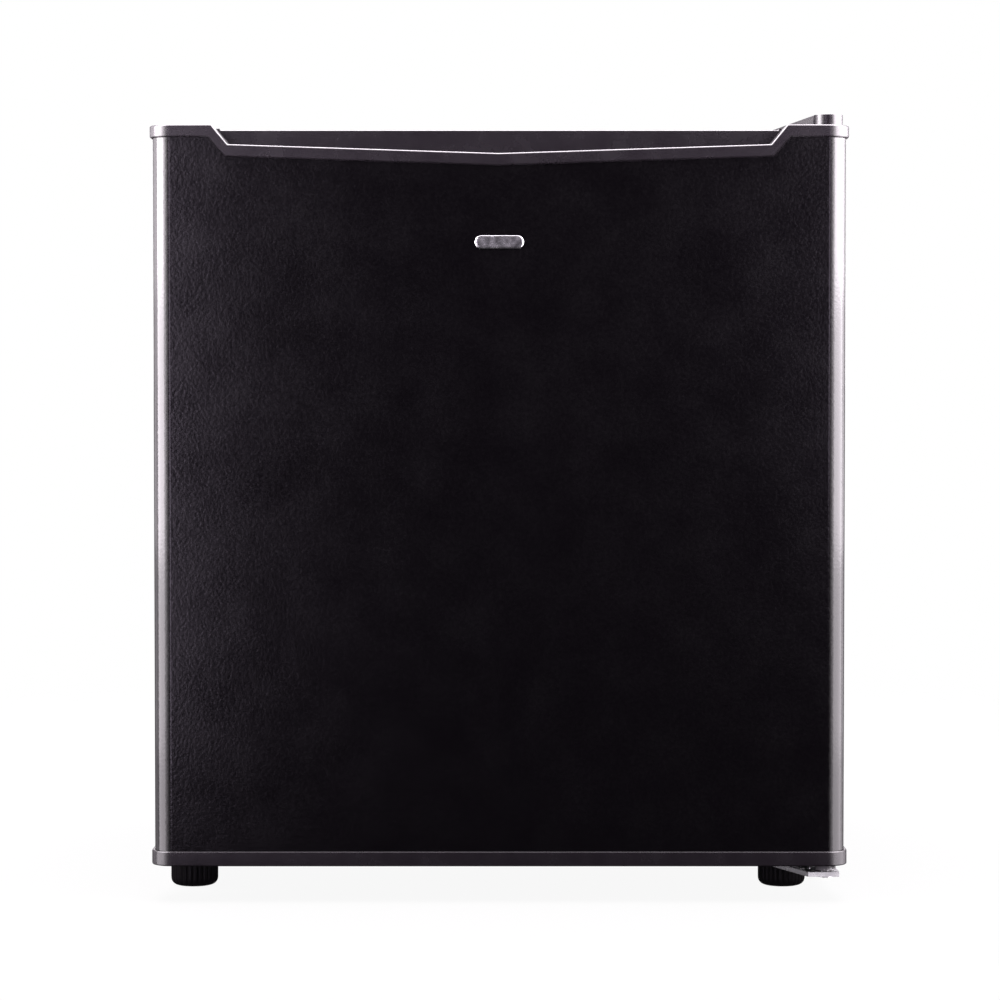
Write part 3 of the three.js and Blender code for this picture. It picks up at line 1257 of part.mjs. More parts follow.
// Bottom cap: a band with a tongue inside the skin.
const TONGUE_TOP = BASE_BAND + 10;
function doorBottomCap() {
  const band = planView(capOutline(), 0, BASE_BAND, 6);
  const tongueOutline = skinOutline(SHEET + GAP, SKIN_BACK - SHEET - GAP);
  const tongue = planView(tongueOutline, 0, TONGUE_TOP, 6);
  const slot = planView(skinOutline(-GAP, SKIN_BACK + 5), SKIN_TUCK - GAP, BASE_BAND + 5, 6);
  let cap = band.subtract(slot).add(tongue);
  const hollow = skinOutline(SHEET + GAP + CAP_WALL, SKIN_BACK - SHEET - GAP - CAP_WALL);
  cap = cap.subtract(planView(hollow, CAP_WALL, TONGUE_TOP + 5, 6));
  const boss = rod("z", BUSH_BOSS, 0, BUSH_DEPTH + 3, HINGE_X, HINGE_SETBACK, 20);
  cap = cap.add(boss);
  const seat = BUSH_RADIUS + GAP;
  cap = cap.subtract(rod("z", seat, -5, BUSH_DEPTH + GAP, HINGE_X, HINGE_SETBACK, 20));
  return piece("door_bottom_cap", cap, BLACK_PLASTIC);
}
door.add(doorBottomCap());

// Plastic bush that turns on a hinge pin.
function hingeBush(name, z) {
  const bore = PIN_RADIUS + GAP + 0.1;
  const bush = turned(
    [
      [bore, 0],
      [BUSH_RADIUS, 0],
      [BUSH_RADIUS, BUSH_DEPTH],
      [bore, BUSH_DEPTH],
      [bore, 0],
    ],
    20,
  );
  return piece(name, bush, WHITE_PLASTIC, HINGE_X, HINGE_SETBACK, z);
}
door.add(hingeBush("lower_hinge_bush", 0));
door.add(hingeBush("upper_hinge_bush", DOOR_HEIGHT - BUSH_DEPTH));

// The door's liner has a raised frame that reaches into the food space, with lugs for the bins.
const DIKE_HALF = SPACE_HALF - DIKE_CLEARANCE;
const DIKE_LOW = SPACE_FLOOR + DOOR_DROP + DIKE_CLEARANCE;
const DIKE_TOP = SPACE_TOP + DOOR_DROP - DIKE_CLEARANCE;
const DIKE_BACK = DOOR_DEPTH + DIKE_RISE;
const dikeRing = (inset, y0, y1) => {
  const outer = rounded(-DIKE_HALF + inset, DIKE_HALF - inset, DIKE_LOW + inset, DIKE_TOP - inset, [
    8, 8, 8, 8,
  ]);
  const reach = DIKE_WIDTH - inset;
  const inner = rounded(-DIKE_HALF + reach, DIKE_HALF - reach, DIKE_LOW + reach, DIKE_TOP - reach, [
    4, 4, 4, 4,
  ]);
  return frontView(outer, y0, y1, 3).subtract(frontView(inner, y0 - 1, y1 + 1, 3));
};
const BIN_HALF = DIKE_HALF - DIKE_WIDTH - BIN_SIDE_GAP;
const LUG = { width: 4, reach: 26, height: 5 };
const BINS = [
  {
    name: "bottle_bin",
    x0: -BIN_HALF,
    x1: BIN_HALF,
    level: DIKE_LOW + DIKE_WIDTH + 6,
    height: BOTTLE_BIN_HEIGHT,
    reach: BIN_REACH,
  },
  {
    name: "small_bin",
    x0: -BIN_HALF,
    x1: -6,
    level: SMALL_BIN_LEVEL,
    height: SMALL_BIN_HEIGHT,
    reach: BIN_REACH - 12,
  },
];
const HOOK = 3.4; // hooks of the bins, past their side walls
const HOOK_RISE = 30; // hook's underside above the bin's floor
// Lugs stand on the liner beside each bin; the bin's hooks rest on them.
function lugsOf(bin) {
  const top = bin.level + HOOK_RISE - GAP;
  return [bin.x0 - GAP - LUG.width, bin.x1 + GAP].map((x) =>
    block(x, x + LUG.width, DOOR_DEPTH - 1, DOOR_DEPTH + LUG.reach - 8, top - 14, top),
  );
}
function doorLiner() {
  const half = SKIN_HALF - 3;
  const [low, high] = [6, DOOR_HEIGHT - 6];
  let liner = block(-half, half, LINER_FRONT, DOOR_DEPTH, low, high);
  liner = liner.add(dikeRing(0, LINER_FRONT, DIKE_BACK));
  liner = liner.subtract(dikeRing(LINER, LINER_FRONT - 5, DIKE_BACK - LINER));
  for (const bin of BINS) for (const lug of lugsOf(bin)) liner = liner.add(lug);
  return piece("door_liner", liner, WHITE_PLASTIC);
}
door.add(doorLiner());

// Foam core of the door, with the ridge that fills the liner's raised frame.
function doorFoam() {
  const back = SKIN_BACK - SHEET - GAP;
  const low = CAP_WALL + GAP;
  let foam = planView(skinOutline(SHEET + GAP, back), TONGUE_TOP + GAP, CAP_LOW - GAP, 6);
  const tongueInside = skinOutline(
    SHEET + GAP + CAP_WALL + GAP,
    SKIN_BACK - SHEET - GAP - CAP_WALL - GAP,
  );
  foam = foam.add(planView(tongueInside, low, TONGUE_TOP + 5, 6));
  foam = foam.subtract(
    rod("z", BUSH_BOSS + GAP, -5, BUSH_DEPTH + 3 + GAP, HINGE_X, HINGE_SETBACK, 20),
  );
  const ridge = dikeRing(LINER + GAP, back - 3, DIKE_BACK - LINER - GAP);
  const foamTop = block(-farAcross, farAcross, -20, 99, -20, CAP_LOW - GAP);
  return piece("door_foam", foam.add(ridge.intersect(foamTop)), FOAM);
}
door.add(doorFoam());

// Magnetic seal: a ring with a narrow root on the liner and a wide head towards the cabinet.
const SEAL_INNER = { x: SPACE_HALF + 2, z0: SPACE_FLOOR + DOOR_DROP - 2, z1: SPACE_TOP + DOOR_DROP + 2 };
function doorSeal() {
  const ring = (inset, width, y0, y1) => {
    const { x, z0, z1 } = SEAL_INNER;
    const inner = polygon([
      [-x - inset, z0 - inset],
      [x + inset, z0 - inset],
      [x + inset, z1 + inset],
      [-x - inset, z1 + inset],
    ]);
    const reach = inset + width;
    const outer = polygon([
      [-x - reach, z0 - reach],
      [x + reach, z0 - reach],
      [x + reach, z1 + reach],
      [-x - reach, z1 + reach],
    ]);
    return frontView(outer, y0, y1).subtract(frontView(inner, y0 - 1, y1 + 1));
  };
  const root = ring(4, SEAL_WIDTH - 8, DOOR_DEPTH + GAP, DOOR_DEPTH + 5);
  const head = ring(0, SEAL_WIDTH, DOOR_DEPTH + 4, DOOR_DEPTH + SEAL_SPACE - GAP);
  return piece("door_seal", root.add(head), SEAL_GREY);
}
door.add(doorSeal());

// Plain blank nameplate on the door's front.
const BADGE_SIZE = { width: 31, height: 8.5, thick: 1, drop: 74 };
function nameplate() {
  const { width: w, height: h, thick, drop } = BADGE_SIZE;
  const r = h / 2 - 0.01;
  const shape = frontView(rounded(-w / 2, w / 2, -h / 2, h / 2, [r, r, r, r]), -thick, 0, 5);
  return piece("nameplate", shape, BADGE, 0, SKIN_FRONT - GAP, DOOR_HEIGHT - drop);
}
door.add(nameplate());

// A bin: open tray with a low guard, and a hook on each side that rests on a lug.
function doorBin({ name, x0, x1, level, height, reach }) {
  const [y0, y1] = [DOOR_DEPTH + 1.5, DOOR_DEPTH + reach];
  const outline = rounded(x0, x1, y0, y1, [3, 3, 12, 12]);
  const wall = BIN_WALL;
  const inside = rounded(x0 + wall, x1 - wall, y0 + wall, y1 - wall, [1, 1, 10, 10]);
  let bin = planView(outline, 0, height, 3).subtract(planView(inside, wall, height + 5, 3));
  for (const [a, b] of [
    [x0 - HOOK, x0 + 1],
    [x1 - 1, x1 + HOOK],
  ])
    bin = bin.add(block(a, b, y0, DOOR_DEPTH + LUG.reach - 8, HOOK_RISE, HOOK_RISE + 6));
  return piece(name, bin, CLEAR_PLASTIC, 0, -DEPTH / 2, GROUND_CLEARANCE - DOOR_DROP + level);
}

// ================================================================ the whole
const refrigerator = new THREE.Group();
refrigerator.add(cabinet, door);
refrigerator.add(levellingFoot("foot_left", FOOT_LEFT_X, FOOT_SETBACK));
refrigerator.add(levellingFoot("foot_right", FOOT_RIGHT_X, FOOT_SETBACK));
refrigerator.add(freezerFlap(), dripTray(), thermostatKnob());
SHELF_LEVELS.forEach((level, i) => refrigerator.add(shelf(i + 1, level)));
BINS.forEach((bin) => refrigerator.add(doorBin(bin)));

export default refrigerator;
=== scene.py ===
import math

import bmesh
import bpy
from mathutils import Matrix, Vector


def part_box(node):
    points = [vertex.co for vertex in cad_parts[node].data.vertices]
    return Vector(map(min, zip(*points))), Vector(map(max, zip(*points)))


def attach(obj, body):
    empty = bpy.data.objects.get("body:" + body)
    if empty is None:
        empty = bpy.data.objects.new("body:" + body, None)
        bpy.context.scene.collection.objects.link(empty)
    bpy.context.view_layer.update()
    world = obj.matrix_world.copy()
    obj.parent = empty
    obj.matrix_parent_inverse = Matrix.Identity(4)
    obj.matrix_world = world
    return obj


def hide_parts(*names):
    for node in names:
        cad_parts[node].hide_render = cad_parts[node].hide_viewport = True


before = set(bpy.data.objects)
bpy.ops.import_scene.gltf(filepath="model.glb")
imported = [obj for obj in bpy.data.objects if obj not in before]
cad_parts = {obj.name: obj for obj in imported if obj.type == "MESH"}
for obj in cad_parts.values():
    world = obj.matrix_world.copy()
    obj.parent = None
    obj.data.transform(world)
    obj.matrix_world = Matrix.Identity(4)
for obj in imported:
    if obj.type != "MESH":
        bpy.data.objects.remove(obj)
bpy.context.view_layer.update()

MM = 0.001


# ------------------------------------------------------------------ camera, floor and lights
# The refrigerator stands on a pale floor in a plain studio and is looked at square on, from a
# little above its middle. Tall soft lights stand at both sides and one hangs above the front.
VIEW_DISTANCE = 2.0  # lens to the door's front
VIEW_HEIGHT = 0.322
FRAME_WIDTH = 0.633  # what the picture takes in at the door's front
SENSOR = 36
door_low, door_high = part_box("door_top_cap")
door_front = door_low.y
aim = Vector((0.0004, door_front, 0.256))
lens_place = Vector((0.0004, door_front - VIEW_DISTANCE, VIEW_HEIGHT))
camera_data = bpy.data.cameras.new("camera")
camera_data.sensor_width = SENSOR
camera_data.lens = SENSOR * (aim - lens_place).length / FRAME_WIDTH
camera_data.clip_start = 0.05
camera = bpy.data.objects.new("camera", camera_data)
camera.location = lens_place
camera.rotation_mode = "QUATERNION"
camera.rotation_quaternion = (aim - lens_place).to_track_quat("-Z", "Y")
bpy.context.collection.objects.link(camera)
bpy.context.scene.camera = camera
bpy.context.scene.view_settings.view_transform = "Standard"

world = bpy.data.worlds.new("studio")
bpy.context.scene.world = world
world.use_nodes = True
sky = world.node_tree
backdrop = sky.nodes["Background"]
backdrop.inputs["Color"].default_value = (1.0, 1.0, 1.0, 1)
backdrop.inputs["Strength"].default_value = 1.0
room = sky.nodes.new("ShaderNodeBackground")
room.inputs["Color"].default_value = (0.96, 0.88, 1.0, 1)
room.inputs["Strength"].default_value = 0.03
seen = sky.nodes.new("ShaderNodeLightPath")
choose = sky.nodes.new("ShaderNodeMixShader")
sky.links.new(seen.outputs["Is Camera Ray"], choose.inputs[0])
sky.links.new(room.outputs[0], choose.inputs[1])
sky.links.new(backdrop.outputs[0], choose.inputs[2])
sky.links.new(choose.outputs[0], sky.nodes["World Output"].inputs["Surface"])

FLOOR_RADIUS = 1.6
FLOOR_GLOW = 0.93  # the floor is a lit table, so shadows on it stay faint
floor_mesh = bpy.data.meshes.new("floor")
floor_shape = bmesh.new()
bmesh.ops.create_circle(floor_shape, cap_ends=True, radius=FLOOR_RADIUS, segments=96)
floor_shape.to_mesh(floor_mesh)
floor_shape.free()
floor = bpy.data.objects.new("floor", floor_mesh)
floor.location.z = -0.0005
floor.visible_glossy = False
floor.visible_diffuse = False
floor.visible_shadow = False
bpy.context.collection.objects.link(floor)
floor_paint = bpy.data.materials.new("floor_paint")
floor_paint.use_nodes = True
floor_tree = floor_paint.node_tree
floor_shader = floor_tree.nodes["Principled BSDF"]
floor_shader.inputs["Base Color"].default_value = (0.06, 0.06, 0.06, 1)
floor_shader.inputs["Roughness"].default_value = 0.9
floor_shader.inputs["Specular IOR Level"].default_value = 0.0
floor_shader.inputs["Emission Color"].default_value = (1, 1, 1, 1)
floor_shader.inputs["Emission Strength"].default_value = FLOOR_GLOW
floor_place = floor_tree.nodes.new("ShaderNodeTexCoord")
floor_reach = floor_tree.nodes.new("ShaderNodeVectorMath")
floor_reach.operation = "LENGTH"
floor_fade = floor_tree.nodes.new("ShaderNodeMapRange")
floor_fade.inputs["From Min"].default_value = 0.4
floor_fade.inputs["From Max"].default_value = 1.3
floor_mix = floor_tree.nodes.new("ShaderNodeMixShader")
floor_clear = floor_tree.nodes.new("ShaderNodeBsdfTransparent")
floor_tree.links.new(floor_place.outputs["Object"], floor_reach.inputs[0])
floor_tree.links.new(floor_reach.outputs["Value"], floor_fade.inputs["Value"])
floor_tree.links.new(floor_fade.outputs["Result"], floor_mix.inputs[0])
floor_tree.links.new(floor_shader.outputs[0], floor_mix.inputs[1])
floor_tree.links.new(floor_clear.outputs[0], floor_mix.inputs[2])
floor_tree.links.new(floor_mix.outputs[0], floor_tree.nodes["Material Output"].inputs["Surface"])
floor_mesh.materials.append(floor_paint)


def soft_light(name, place, towards, size, brightness, colour=(1, 0.93, 0.99), only=None):
    """A rectangular light of a given brightness, whatever its size; it may light only some pieces."""
    data = bpy.data.lights.new(name, "AREA")
    data.shape = "RECTANGLE"
    data.size, data.size_y = size
    data.energy = brightness * math.pi * size[0] * size[1]
    data.color = colour
    light = bpy.data.objects.new(name, data)
    light.location = place
    light.rotation_mode = "QUATERNION"
    light.rotation_quaternion = (Vector(towards) - Vector(place)).to_track_quat("-Z", "Y")
    light.visible_camera = False
    bpy.context.collection.objects.link(light)
    if only:
        light.light_linking.receiver_collection = only


# Strip lights close beside the door light only the door and its hinges. They are brighter
# above, so the rounded edges fade towards the floor, and they fade out forwards and back.
door_group = bpy.data.collections.new("pieces_in_the_strip_lights")
lip_group = bpy.data.collections.new("pieces_under_the_overhead_light")
STRIP_OUT = 0.6
LEVELS = ((0.4, 1.28), (0.2, 0.4), (0.05, 0.2), (-0.15, 0.05))  # low and high end, top first
# Front end, back end and share of the brightness, from front to back.
LEFT_SPANS = (
    (-1.15, -0.8, 0.12), (-0.8, -0.59, 0.4), (-0.59, -0.19, 1), (-0.19, 0.1, 0.15), (0.1, 0.4, 0.06),
)
RIGHT_SPANS = (
    (-1.2, -0.85, 0.12), (-0.85, -0.64, 0.4), (-0.64, -0.1, 1), (-0.1, 0.1, 0.38), (0.1, 0.4, 0.1),
)
for name, side, brightnesses, spans in (
    ("left", -1, (27, 18, 9.5, 6.5), LEFT_SPANS),
    ("right", 1, (24, 13.5, 8, 6), RIGHT_SPANS),
):
    for span, (front, back, share) in enumerate(spans, 1):
        for level, ((low, high), brightness) in enumerate(zip(LEVELS, brightnesses), 1):
            y, z = (front + back) / 2, (low + high) / 2
            soft_light(
                f"{name}_strip_light_{span}_{level}", (side * STRIP_OUT, y, z), (0, y, z),
                (back - front, high - low), brightness * share, only=door_group,
            )
soft_light("left_light", (-1.5, -0.3, 0.9), (0, -0.1, 0.4), (1.6, 1.2), 1.6)
soft_light("right_light", (1.5, -0.3, 0.9), (0, -0.1, 0.4), (1.6, 1.2), 1.6)
TINT = (1, 0.85, 1.08)
soft_light("front_left_light", (-0.6, -2.2, 0.45), (0, -0.2, 0.35), (0.22, 1.25), 3.3, TINT)
soft_light("front_right_light", (0.66, -2.2, 0.65), (0, -0.2, 0.35), (0.22, 0.9), 2.5, TINT)
soft_light("overhead_light", (0, 0.0, 1.6), (0, 0.0, 0), (1.8, 1.9), 5)
soft_light("door_overhead_light", (0, 0.1, 1.4), (0, 0.1, 0), (1.6, 1.5), 16, only=lip_group)
hinge_group = bpy.data.collections.new("pieces_in_the_low_light")
soft_light("low_light", (0.2, -1.5, -0.2), (0.2, -0.22, 0.015), (0.6, 0.34), 1.7, only=hinge_group)
soft_light("rear_light", (0.0, 1.7, 0.9), (0, 0.1, 0.35), (1.8, 1.2), 2.5)


# ------------------------------------------------------------------ cabinet's outer walls
# Both sides and the top are one sheet of steel, folded over the foam and coated in a satin
# black film with a very fine grain. Its raw edges are turned in behind the door's seal.
def surface(
    name, colour, roughness, metallic=0.0, mottle=0.15, mottle_size=0.06, gloss_spread=0.1,
    gloss_size=0.02, grain_size=0.0012, grain_depth=0.00001, speckle=0.0, **sockets,
):
    """A finish with its colour and gloss uneven over centimetres and its grain under a millimetre."""
    made = bpy.data.materials.new(name)
    made.use_nodes = True
    nodes, links = made.node_tree.nodes, made.node_tree.links
    shader = nodes["Principled BSDF"]
    shader.inputs["Metallic"].default_value = metallic
    for socket, value in sockets.items():
        shader.inputs[socket.replace("_", " ")].default_value = value
    place = nodes.new("ShaderNodeTexCoord")

    def noise(size, detail=3.0, rough=0.55):
        n = nodes.new("ShaderNodeTexNoise")
        n.inputs["Scale"].default_value = 1 / size
        n.inputs["Detail"].default_value = detail
        n.inputs["Roughness"].default_value = rough
        links.new(place.outputs["Object"], n.inputs["Vector"])
        return n.outputs["Fac"]

    clouds = nodes.new("ShaderNodeMix")
    clouds.data_type = "RGBA"
    dark = tuple(c * (1 - mottle) for c in colour)
    light = tuple(min(1.0, c * (1 + mottle)) for c in colour)
    clouds.inputs[6].default_value = (*dark, 1)
    clouds.inputs[7].default_value = (*light, 1)
    links.new(noise(mottle_size), clouds.inputs[0])
    links.new(clouds.outputs[2], shader.inputs["Base Color"])
    gloss = nodes.new("ShaderNodeMapRange")
    gloss.inputs["From Min"].default_value = 0.3
    gloss.inputs["From Max"].default_value = 0.7
    gloss.inputs["To Min"].default_value = max(0.02, roughness - gloss_spread / 2)
    gloss.inputs["To Max"].default_value = min(1.0, roughness + gloss_spread / 2)
    links.new(noise(gloss_size, 4.0), gloss.inputs["Value"])
    speckled = nodes.new("ShaderNodeMath")
    speckled.operation = "MULTIPLY_ADD"
    speckled.inputs[1].default_value = speckle
    links.new(noise(grain_size, 2.0, 0.5), speckled.inputs[0])
    links.new(gloss.outputs["Result"], speckled.inputs[2])
    links.new(speckled.outputs[0], shader.inputs["Roughness"])
    grain = nodes.new("ShaderNodeBump")
    grain.inputs["Strength"].default_value = 1.0
    grain.inputs["Distance"].default_value = grain_depth
    links.new(noise(grain_size, 2.0, 0.5), grain.inputs["Height"])
    links.new(grain.outputs["Normal"], shader.inputs["Normal"])
    return made


grained_black = surface(
    "grained_black_steel", (0.0007, 0.0005, 0.0008), 0.115, mottle=0.12, mottle_size=0.09,
    gloss_spread=0.05, gloss_size=0.03, grain_size=0.002, grain_depth=0.00006, speckle=0.11,
    IOR=1.5,
)


def welded(node):
    """The node's own shape with its triangles joined into whole faces, ready for rounding."""
    shape = bmesh.new()
    shape.from_mesh(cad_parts[node].data)
    bmesh.ops.remove_doubles(shape, verts=shape.verts, dist=1e-6)
    bmesh.ops.dissolve_limit(
        shape, angle_limit=math.radians(0.4), verts=shape.verts, edges=shape.edges
    )
    bmesh.ops.recalc_face_normals(shape, faces=shape.faces)
    return shape


def round_off(shape, width, segments=2, where=None, sharper_than=28, hollow=None, clamp=True):
    """Rounds the sharp edges that where() accepts by their middle point."""
    picked = []
    for edge in shape.edges:
        if len(edge.link_faces) != 2:
            continue
        if edge.calc_face_angle(0) < math.radians(sharper_than):
            continue
        if hollow is not None and edge.is_convex == hollow:
            continue
        middle = (edge.verts[0].co + edge.verts[1].co) / 2
        if where is None or where(middle):
            picked.append(edge)
    bmesh.ops.bevel(
        shape,
        geom=picked,
        offset=width,
        offset_type="OFFSET",
        segments=segments,
        profile=0.5,
        affect="EDGES",
        clamp_overlap=clamp,
    )


def softened(node, width, segments=2, where=None, sharper_than=50):
    """The node's own shape with its sharp edges rounded."""
    shape = welded(node)
    round_off(shape, width, segments, where, sharper_than)
    return shape


def piece(name, shape, material, body, *nodes, slot=None, sharp=35, strip_lit=False):
    """A mesh that rides on a body and stands for the nodes it is named with."""
    mesh = bpy.data.meshes.new(name)
    bmesh.ops.dissolve_degenerate(shape, edges=shape.edges, dist=1e-7)
    shape.to_mesh(mesh)
    shape.free()
    mesh.shade_smooth()
    mesh.set_sharp_from_angle(angle=math.radians(sharp))
    mesh.materials.append(material)
    made = bpy.data.objects.new(name, mesh)
    bpy.context.collection.objects.link(made)
    steady = made.modifiers.new("even_shading", "WEIGHTED_NORMAL")
    steady.keep_sharp = True
    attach(made, body)
    if nodes:
        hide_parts(*nodes)
    if strip_lit:
        door_group.objects.link(made)
    return made


wrap = softened("cabinet_shell", 0.25 * MM, 1, sharper_than=28)
piece("cabinet_wrap", wrap, grained_black, "cabinet", "cabinet_shell", slot="painted_steel")


# ------------------------------------------------------------------ back, floor and bay plates
# The back panel, the compressor bay's walls and its tray are pressed from hot-dip galvanised
# sheet, left bare, so the zinc's frost-like spangle shows. The cabinet's floor is the same sheet,
# coated in the grained black film.
def galvanised_steel():
    made = surface(
        "galvanised_steel", (0.44, 0.46, 0.47), 0.42, metallic=0.85, mottle=0.1, gloss_spread=0.16,
        gloss_size=0.012, grain_size=0.0015, grain_depth=0.00001,
    )
    nodes, links = made.node_tree.nodes, made.node_tree.links
    spangle = nodes.new("ShaderNodeTexVoronoi")
    spangle.inputs["Scale"].default_value = 110
    place = next(n for n in nodes if n.type == "TEX_COORD")
    links.new(place.outputs["Object"], spangle.inputs["Vector"])
    flake = nodes.new("ShaderNodeMix")
    flake.data_type = "RGBA"
    flake.inputs[6].default_value = (0.36, 0.375, 0.39, 1)
    flake.inputs[7].default_value = (0.62, 0.635, 0.65, 1)
    links.new(spangle.outputs["Color"], flake.inputs[0])
    links.new(flake.outputs[2], nodes["Principled BSDF"].inputs["Base Color"])
    return made


zinc_sheet = galvanised_steel()
for node, name, finish, slot in (
    ("base_plate", "cabinet_floor_plate", grained_black, "painted_steel"),
    ("compressor_bay_plate", "compressor_bay_walls", zinc_sheet, "zinc_steel"),
    ("compressor_tray", "compressor_tray_plate", zinc_sheet, "zinc_steel"),
):
    plate = softened(node, 0.3 * MM, 1, sharper_than=28)
    piece(name, plate, finish, "cabinet", node, slot=slot)

# The back panel is stiffened by pressed beads between the condenser's two holders.
BEAD_COUNT = 5
BEAD_HALF = 0.104  # half its straight length
BEAD_WIDTH = 0.013
BEAD_RISE = 1.8 * MM
COLUMNS = 150  # of the panel's mesh
panel_low, panel_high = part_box("back_panel")
bead_levels = [
    panel_low.z + (panel_high.z - panel_low.z) * (i + 0.75) / (BEAD_COUNT + 0.5)
    for i in range(BEAD_COUNT)
]


def bead_height(x, z):
    """How far the panel is pressed out at a point."""
    best = 0.0
    for level in bead_levels:
        along = max(abs(x) - BEAD_HALF, 0)
        away = math.hypot(along, z - level) / (BEAD_WIDTH / 2)
        if away < 1:
            best = max(best, BEAD_RISE * (1 - away * away) ** 2)
    return best


def pressed_panel():
    shape = bmesh.new()
    corner = 7 * MM
    width = panel_high.x - panel_low.x
    across = [panel_low.x + width * i / COLUMNS for i in range(COLUMNS + 1)]
    rows = sorted(
        {panel_low.z, panel_high.z}
        | {level + BEAD_WIDTH * k / 12 for level in bead_levels for k in range(-7, 8)}
        | {panel_high.z - corner * (1 - math.sin(a * math.pi / 16)) for a in range(8)}
    )
    sides = []
    for y, raised in ((panel_high.y, 1), (panel_low.y, 0)):
        grid = []
        for z in rows:
            fall = max(0.0, z - (panel_high.z - corner))
            trim = corner - math.sqrt(max(corner * corner - fall * fall, 0))
            half = panel_high.x - trim
            line = []
            for x in across:
                x = max(-half, min(half, x))
                out = bead_height(x, z) * raised
                line.append(shape.verts.new((x, y + out, z)))
            grid.append(line)
        sides.append(grid)
    outer, inner = sides
    last = len(rows) - 1
    for grid, flip in ((outer, False), (inner, True)):
        for r in range(last):
            for c in range(COLUMNS):
                quad = [grid[r][c], grid[r][c + 1], grid[r + 1][c + 1], grid[r + 1][c]]
                shape.faces.new(quad if flip else quad[::-1])
    for c in range(COLUMNS):
        shape.faces.new([outer[0][c], outer[0][c + 1], inner[0][c + 1], inner[0][c]])
        shape.faces.new([inner[last][c], inner[last][c + 1], outer[last][c + 1], outer[last][c]])
    for r in range(last):
        shape.faces.new([inner[r][0], inner[r + 1][0], outer[r + 1][0], outer[r][0]])
        shape.faces.new([outer[r][-1], outer[r + 1][-1], inner[r + 1][-1], inner[r][-1]])
    bmesh.ops.remove_doubles(shape, verts=shape.verts, dist=1e-7)
    bmesh.ops.recalc_face_normals(shape, faces=shape.faces)
    return shape


piece("rear_panel", pressed_panel(), zinc_sheet, "cabinet", "back_panel", slot="zinc_steel")


# ------------------------------------------------------------------ foam and liner
# Rigid polyurethane is poured between the steel and the lining. The lining is one sheet of
# glossy white polystyrene, drawn over a mould, with ribs that carry the shelves.
foam = surface(
    "rigid_foam", (0.72, 0.60, 0.30), 0.9, mottle=0.2, grain_size=0.002, grain_depth=0.0003
)


def finished_as_is(node, material):
    """A node that shows in its own shape and only gets a finish."""
    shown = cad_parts[node]
    shown.data.materials.clear()
    shown.data.materials.append(material)


for node in ("insulation_foam", "door_foam"):
    finished_as_is(node, foam)

glossy_white = surface(
    "glossy_white_sheet", (0.78, 0.79, 0.80), 0.22, mottle=0.015, gloss_spread=0.08,
    gloss_size=0.05, grain_size=0.006, grain_depth=0.00003, Subsurface_Weight=0.05,
    Subsurface_Radius=(0.004, 0.004, 0.004),
)
liner_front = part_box("inner_liner")[0].y
lining = welded("inner_liner")
SPACE_HALF = 0.185
SPACE_FLOOR = 0.058
SPACE_TOP = 0.456
SPACE_BACK = 0.168
STEP_TOP = 0.215  # step over the compressor bay
STEP_FRONT = 0.050
STEP_SLOPE = 0.014
NEAR = 0.6 * MM


def on_space_corner(p):
    """True on the edges where two walls of the food space meet."""
    side = abs(abs(p.x) - SPACE_HALF) < NEAR
    floor_or_top = min(abs(p.z - SPACE_FLOOR), abs(p.z - SPACE_TOP)) < NEAR
    back = abs(p.y - SPACE_BACK) < NEAR
    on_step = abs(p.z - STEP_TOP) < NEAR and p.y > STEP_FRONT
    step_face = abs(p.y - STEP_FRONT) < NEAR and p.z < STEP_TOP
    along_slope = abs((p.y - STEP_FRONT) - (p.z - STEP_TOP) - STEP_SLOPE) < 2 * MM
    step_slope = along_slope and p.y > STEP_FRONT - NEAR
    faces = [side, floor_or_top, back, on_step or step_face or step_slope]
    return sum(faces) >= 2 and not (side and abs(p.y - liner_front) < NEAR)


round_off(lining, 5 * MM, 4, on_space_corner, sharper_than=60, hollow=True)
round_off(lining, 0.5 * MM, 2, sharper_than=60)
piece("food_space_lining", lining, glossy_white, "cabinet", "inner_liner", slot="liner_white")


# ------------------------------------------------------------------ door panel
# The door's front is one sheet of steel, bent round at its upright edges and coated in the
# same grained black film. It is foamed together with the door's lining.
skin = softened("door_skin", 0.2 * MM, 1)
piece("door_panel", skin, grained_black, "door", "door_skin", slot="painted_steel", strip_lit=True)


# ------------------------------------------------------------------ door end caps
# Injection-moulded black caps close the door's two ends. The top one dips to a shallow vee
# over a finger pocket, and its front lip is rounded where the fingers pull.
cap_black = surface(
    "moulded_black_plastic", (0.0045, 0.0035, 0.0048), 0.255, mottle=0.08, gloss_spread=0.08,
    gloss_size=0.015, grain_size=0.0009, grain_depth=0.000018, IOR=1.5,
)
CAP_CORNER = 14 * MM
cap_half = door_high.x
cap_front = door_low.y


def depth_in_cap(p):
    """How far inside the cap's outline a point is, seen from above."""
    beside = abs(p.x) - (cap_half - CAP_CORNER)
    before = (cap_front + CAP_CORNER) - p.y
    if beside > 0 and before > 0:
        return CAP_CORNER - math.hypot(beside, before)
    return min(cap_half - abs(p.x), p.y - cap_front)


BAND = 8 * MM
DIP_END = 182 * MM
DIP_SLOPE = 10.4 * MM
VEE_POINTS = [(0, 18 * MM), (DIP_END - DIP_SLOPE, 12.4 * MM), (DIP_END, 0), (cap_half, 0)]


def dip_at(x):
    """How far the cap's top edge lies below the door's top."""
    x = min(abs(x), VEE_POINTS[-1][0])
    for (x0, d0), (x1, d1) in zip(VEE_POINTS, VEE_POINTS[1:]):
        if x <= x1:
            return d0 + (d1 - d0) * (x - x0) / (x1 - x0)


LIP_ROUND = 2.0 * MM
BAND_ROUND = 1.35 * MM
POCKET_HALF = 0.18
POCKET_BACK = -0.195
POCKET_LOW = 0.46


def on_cap_outline(p):
    return depth_in_cap(p) < 0.4 * MM


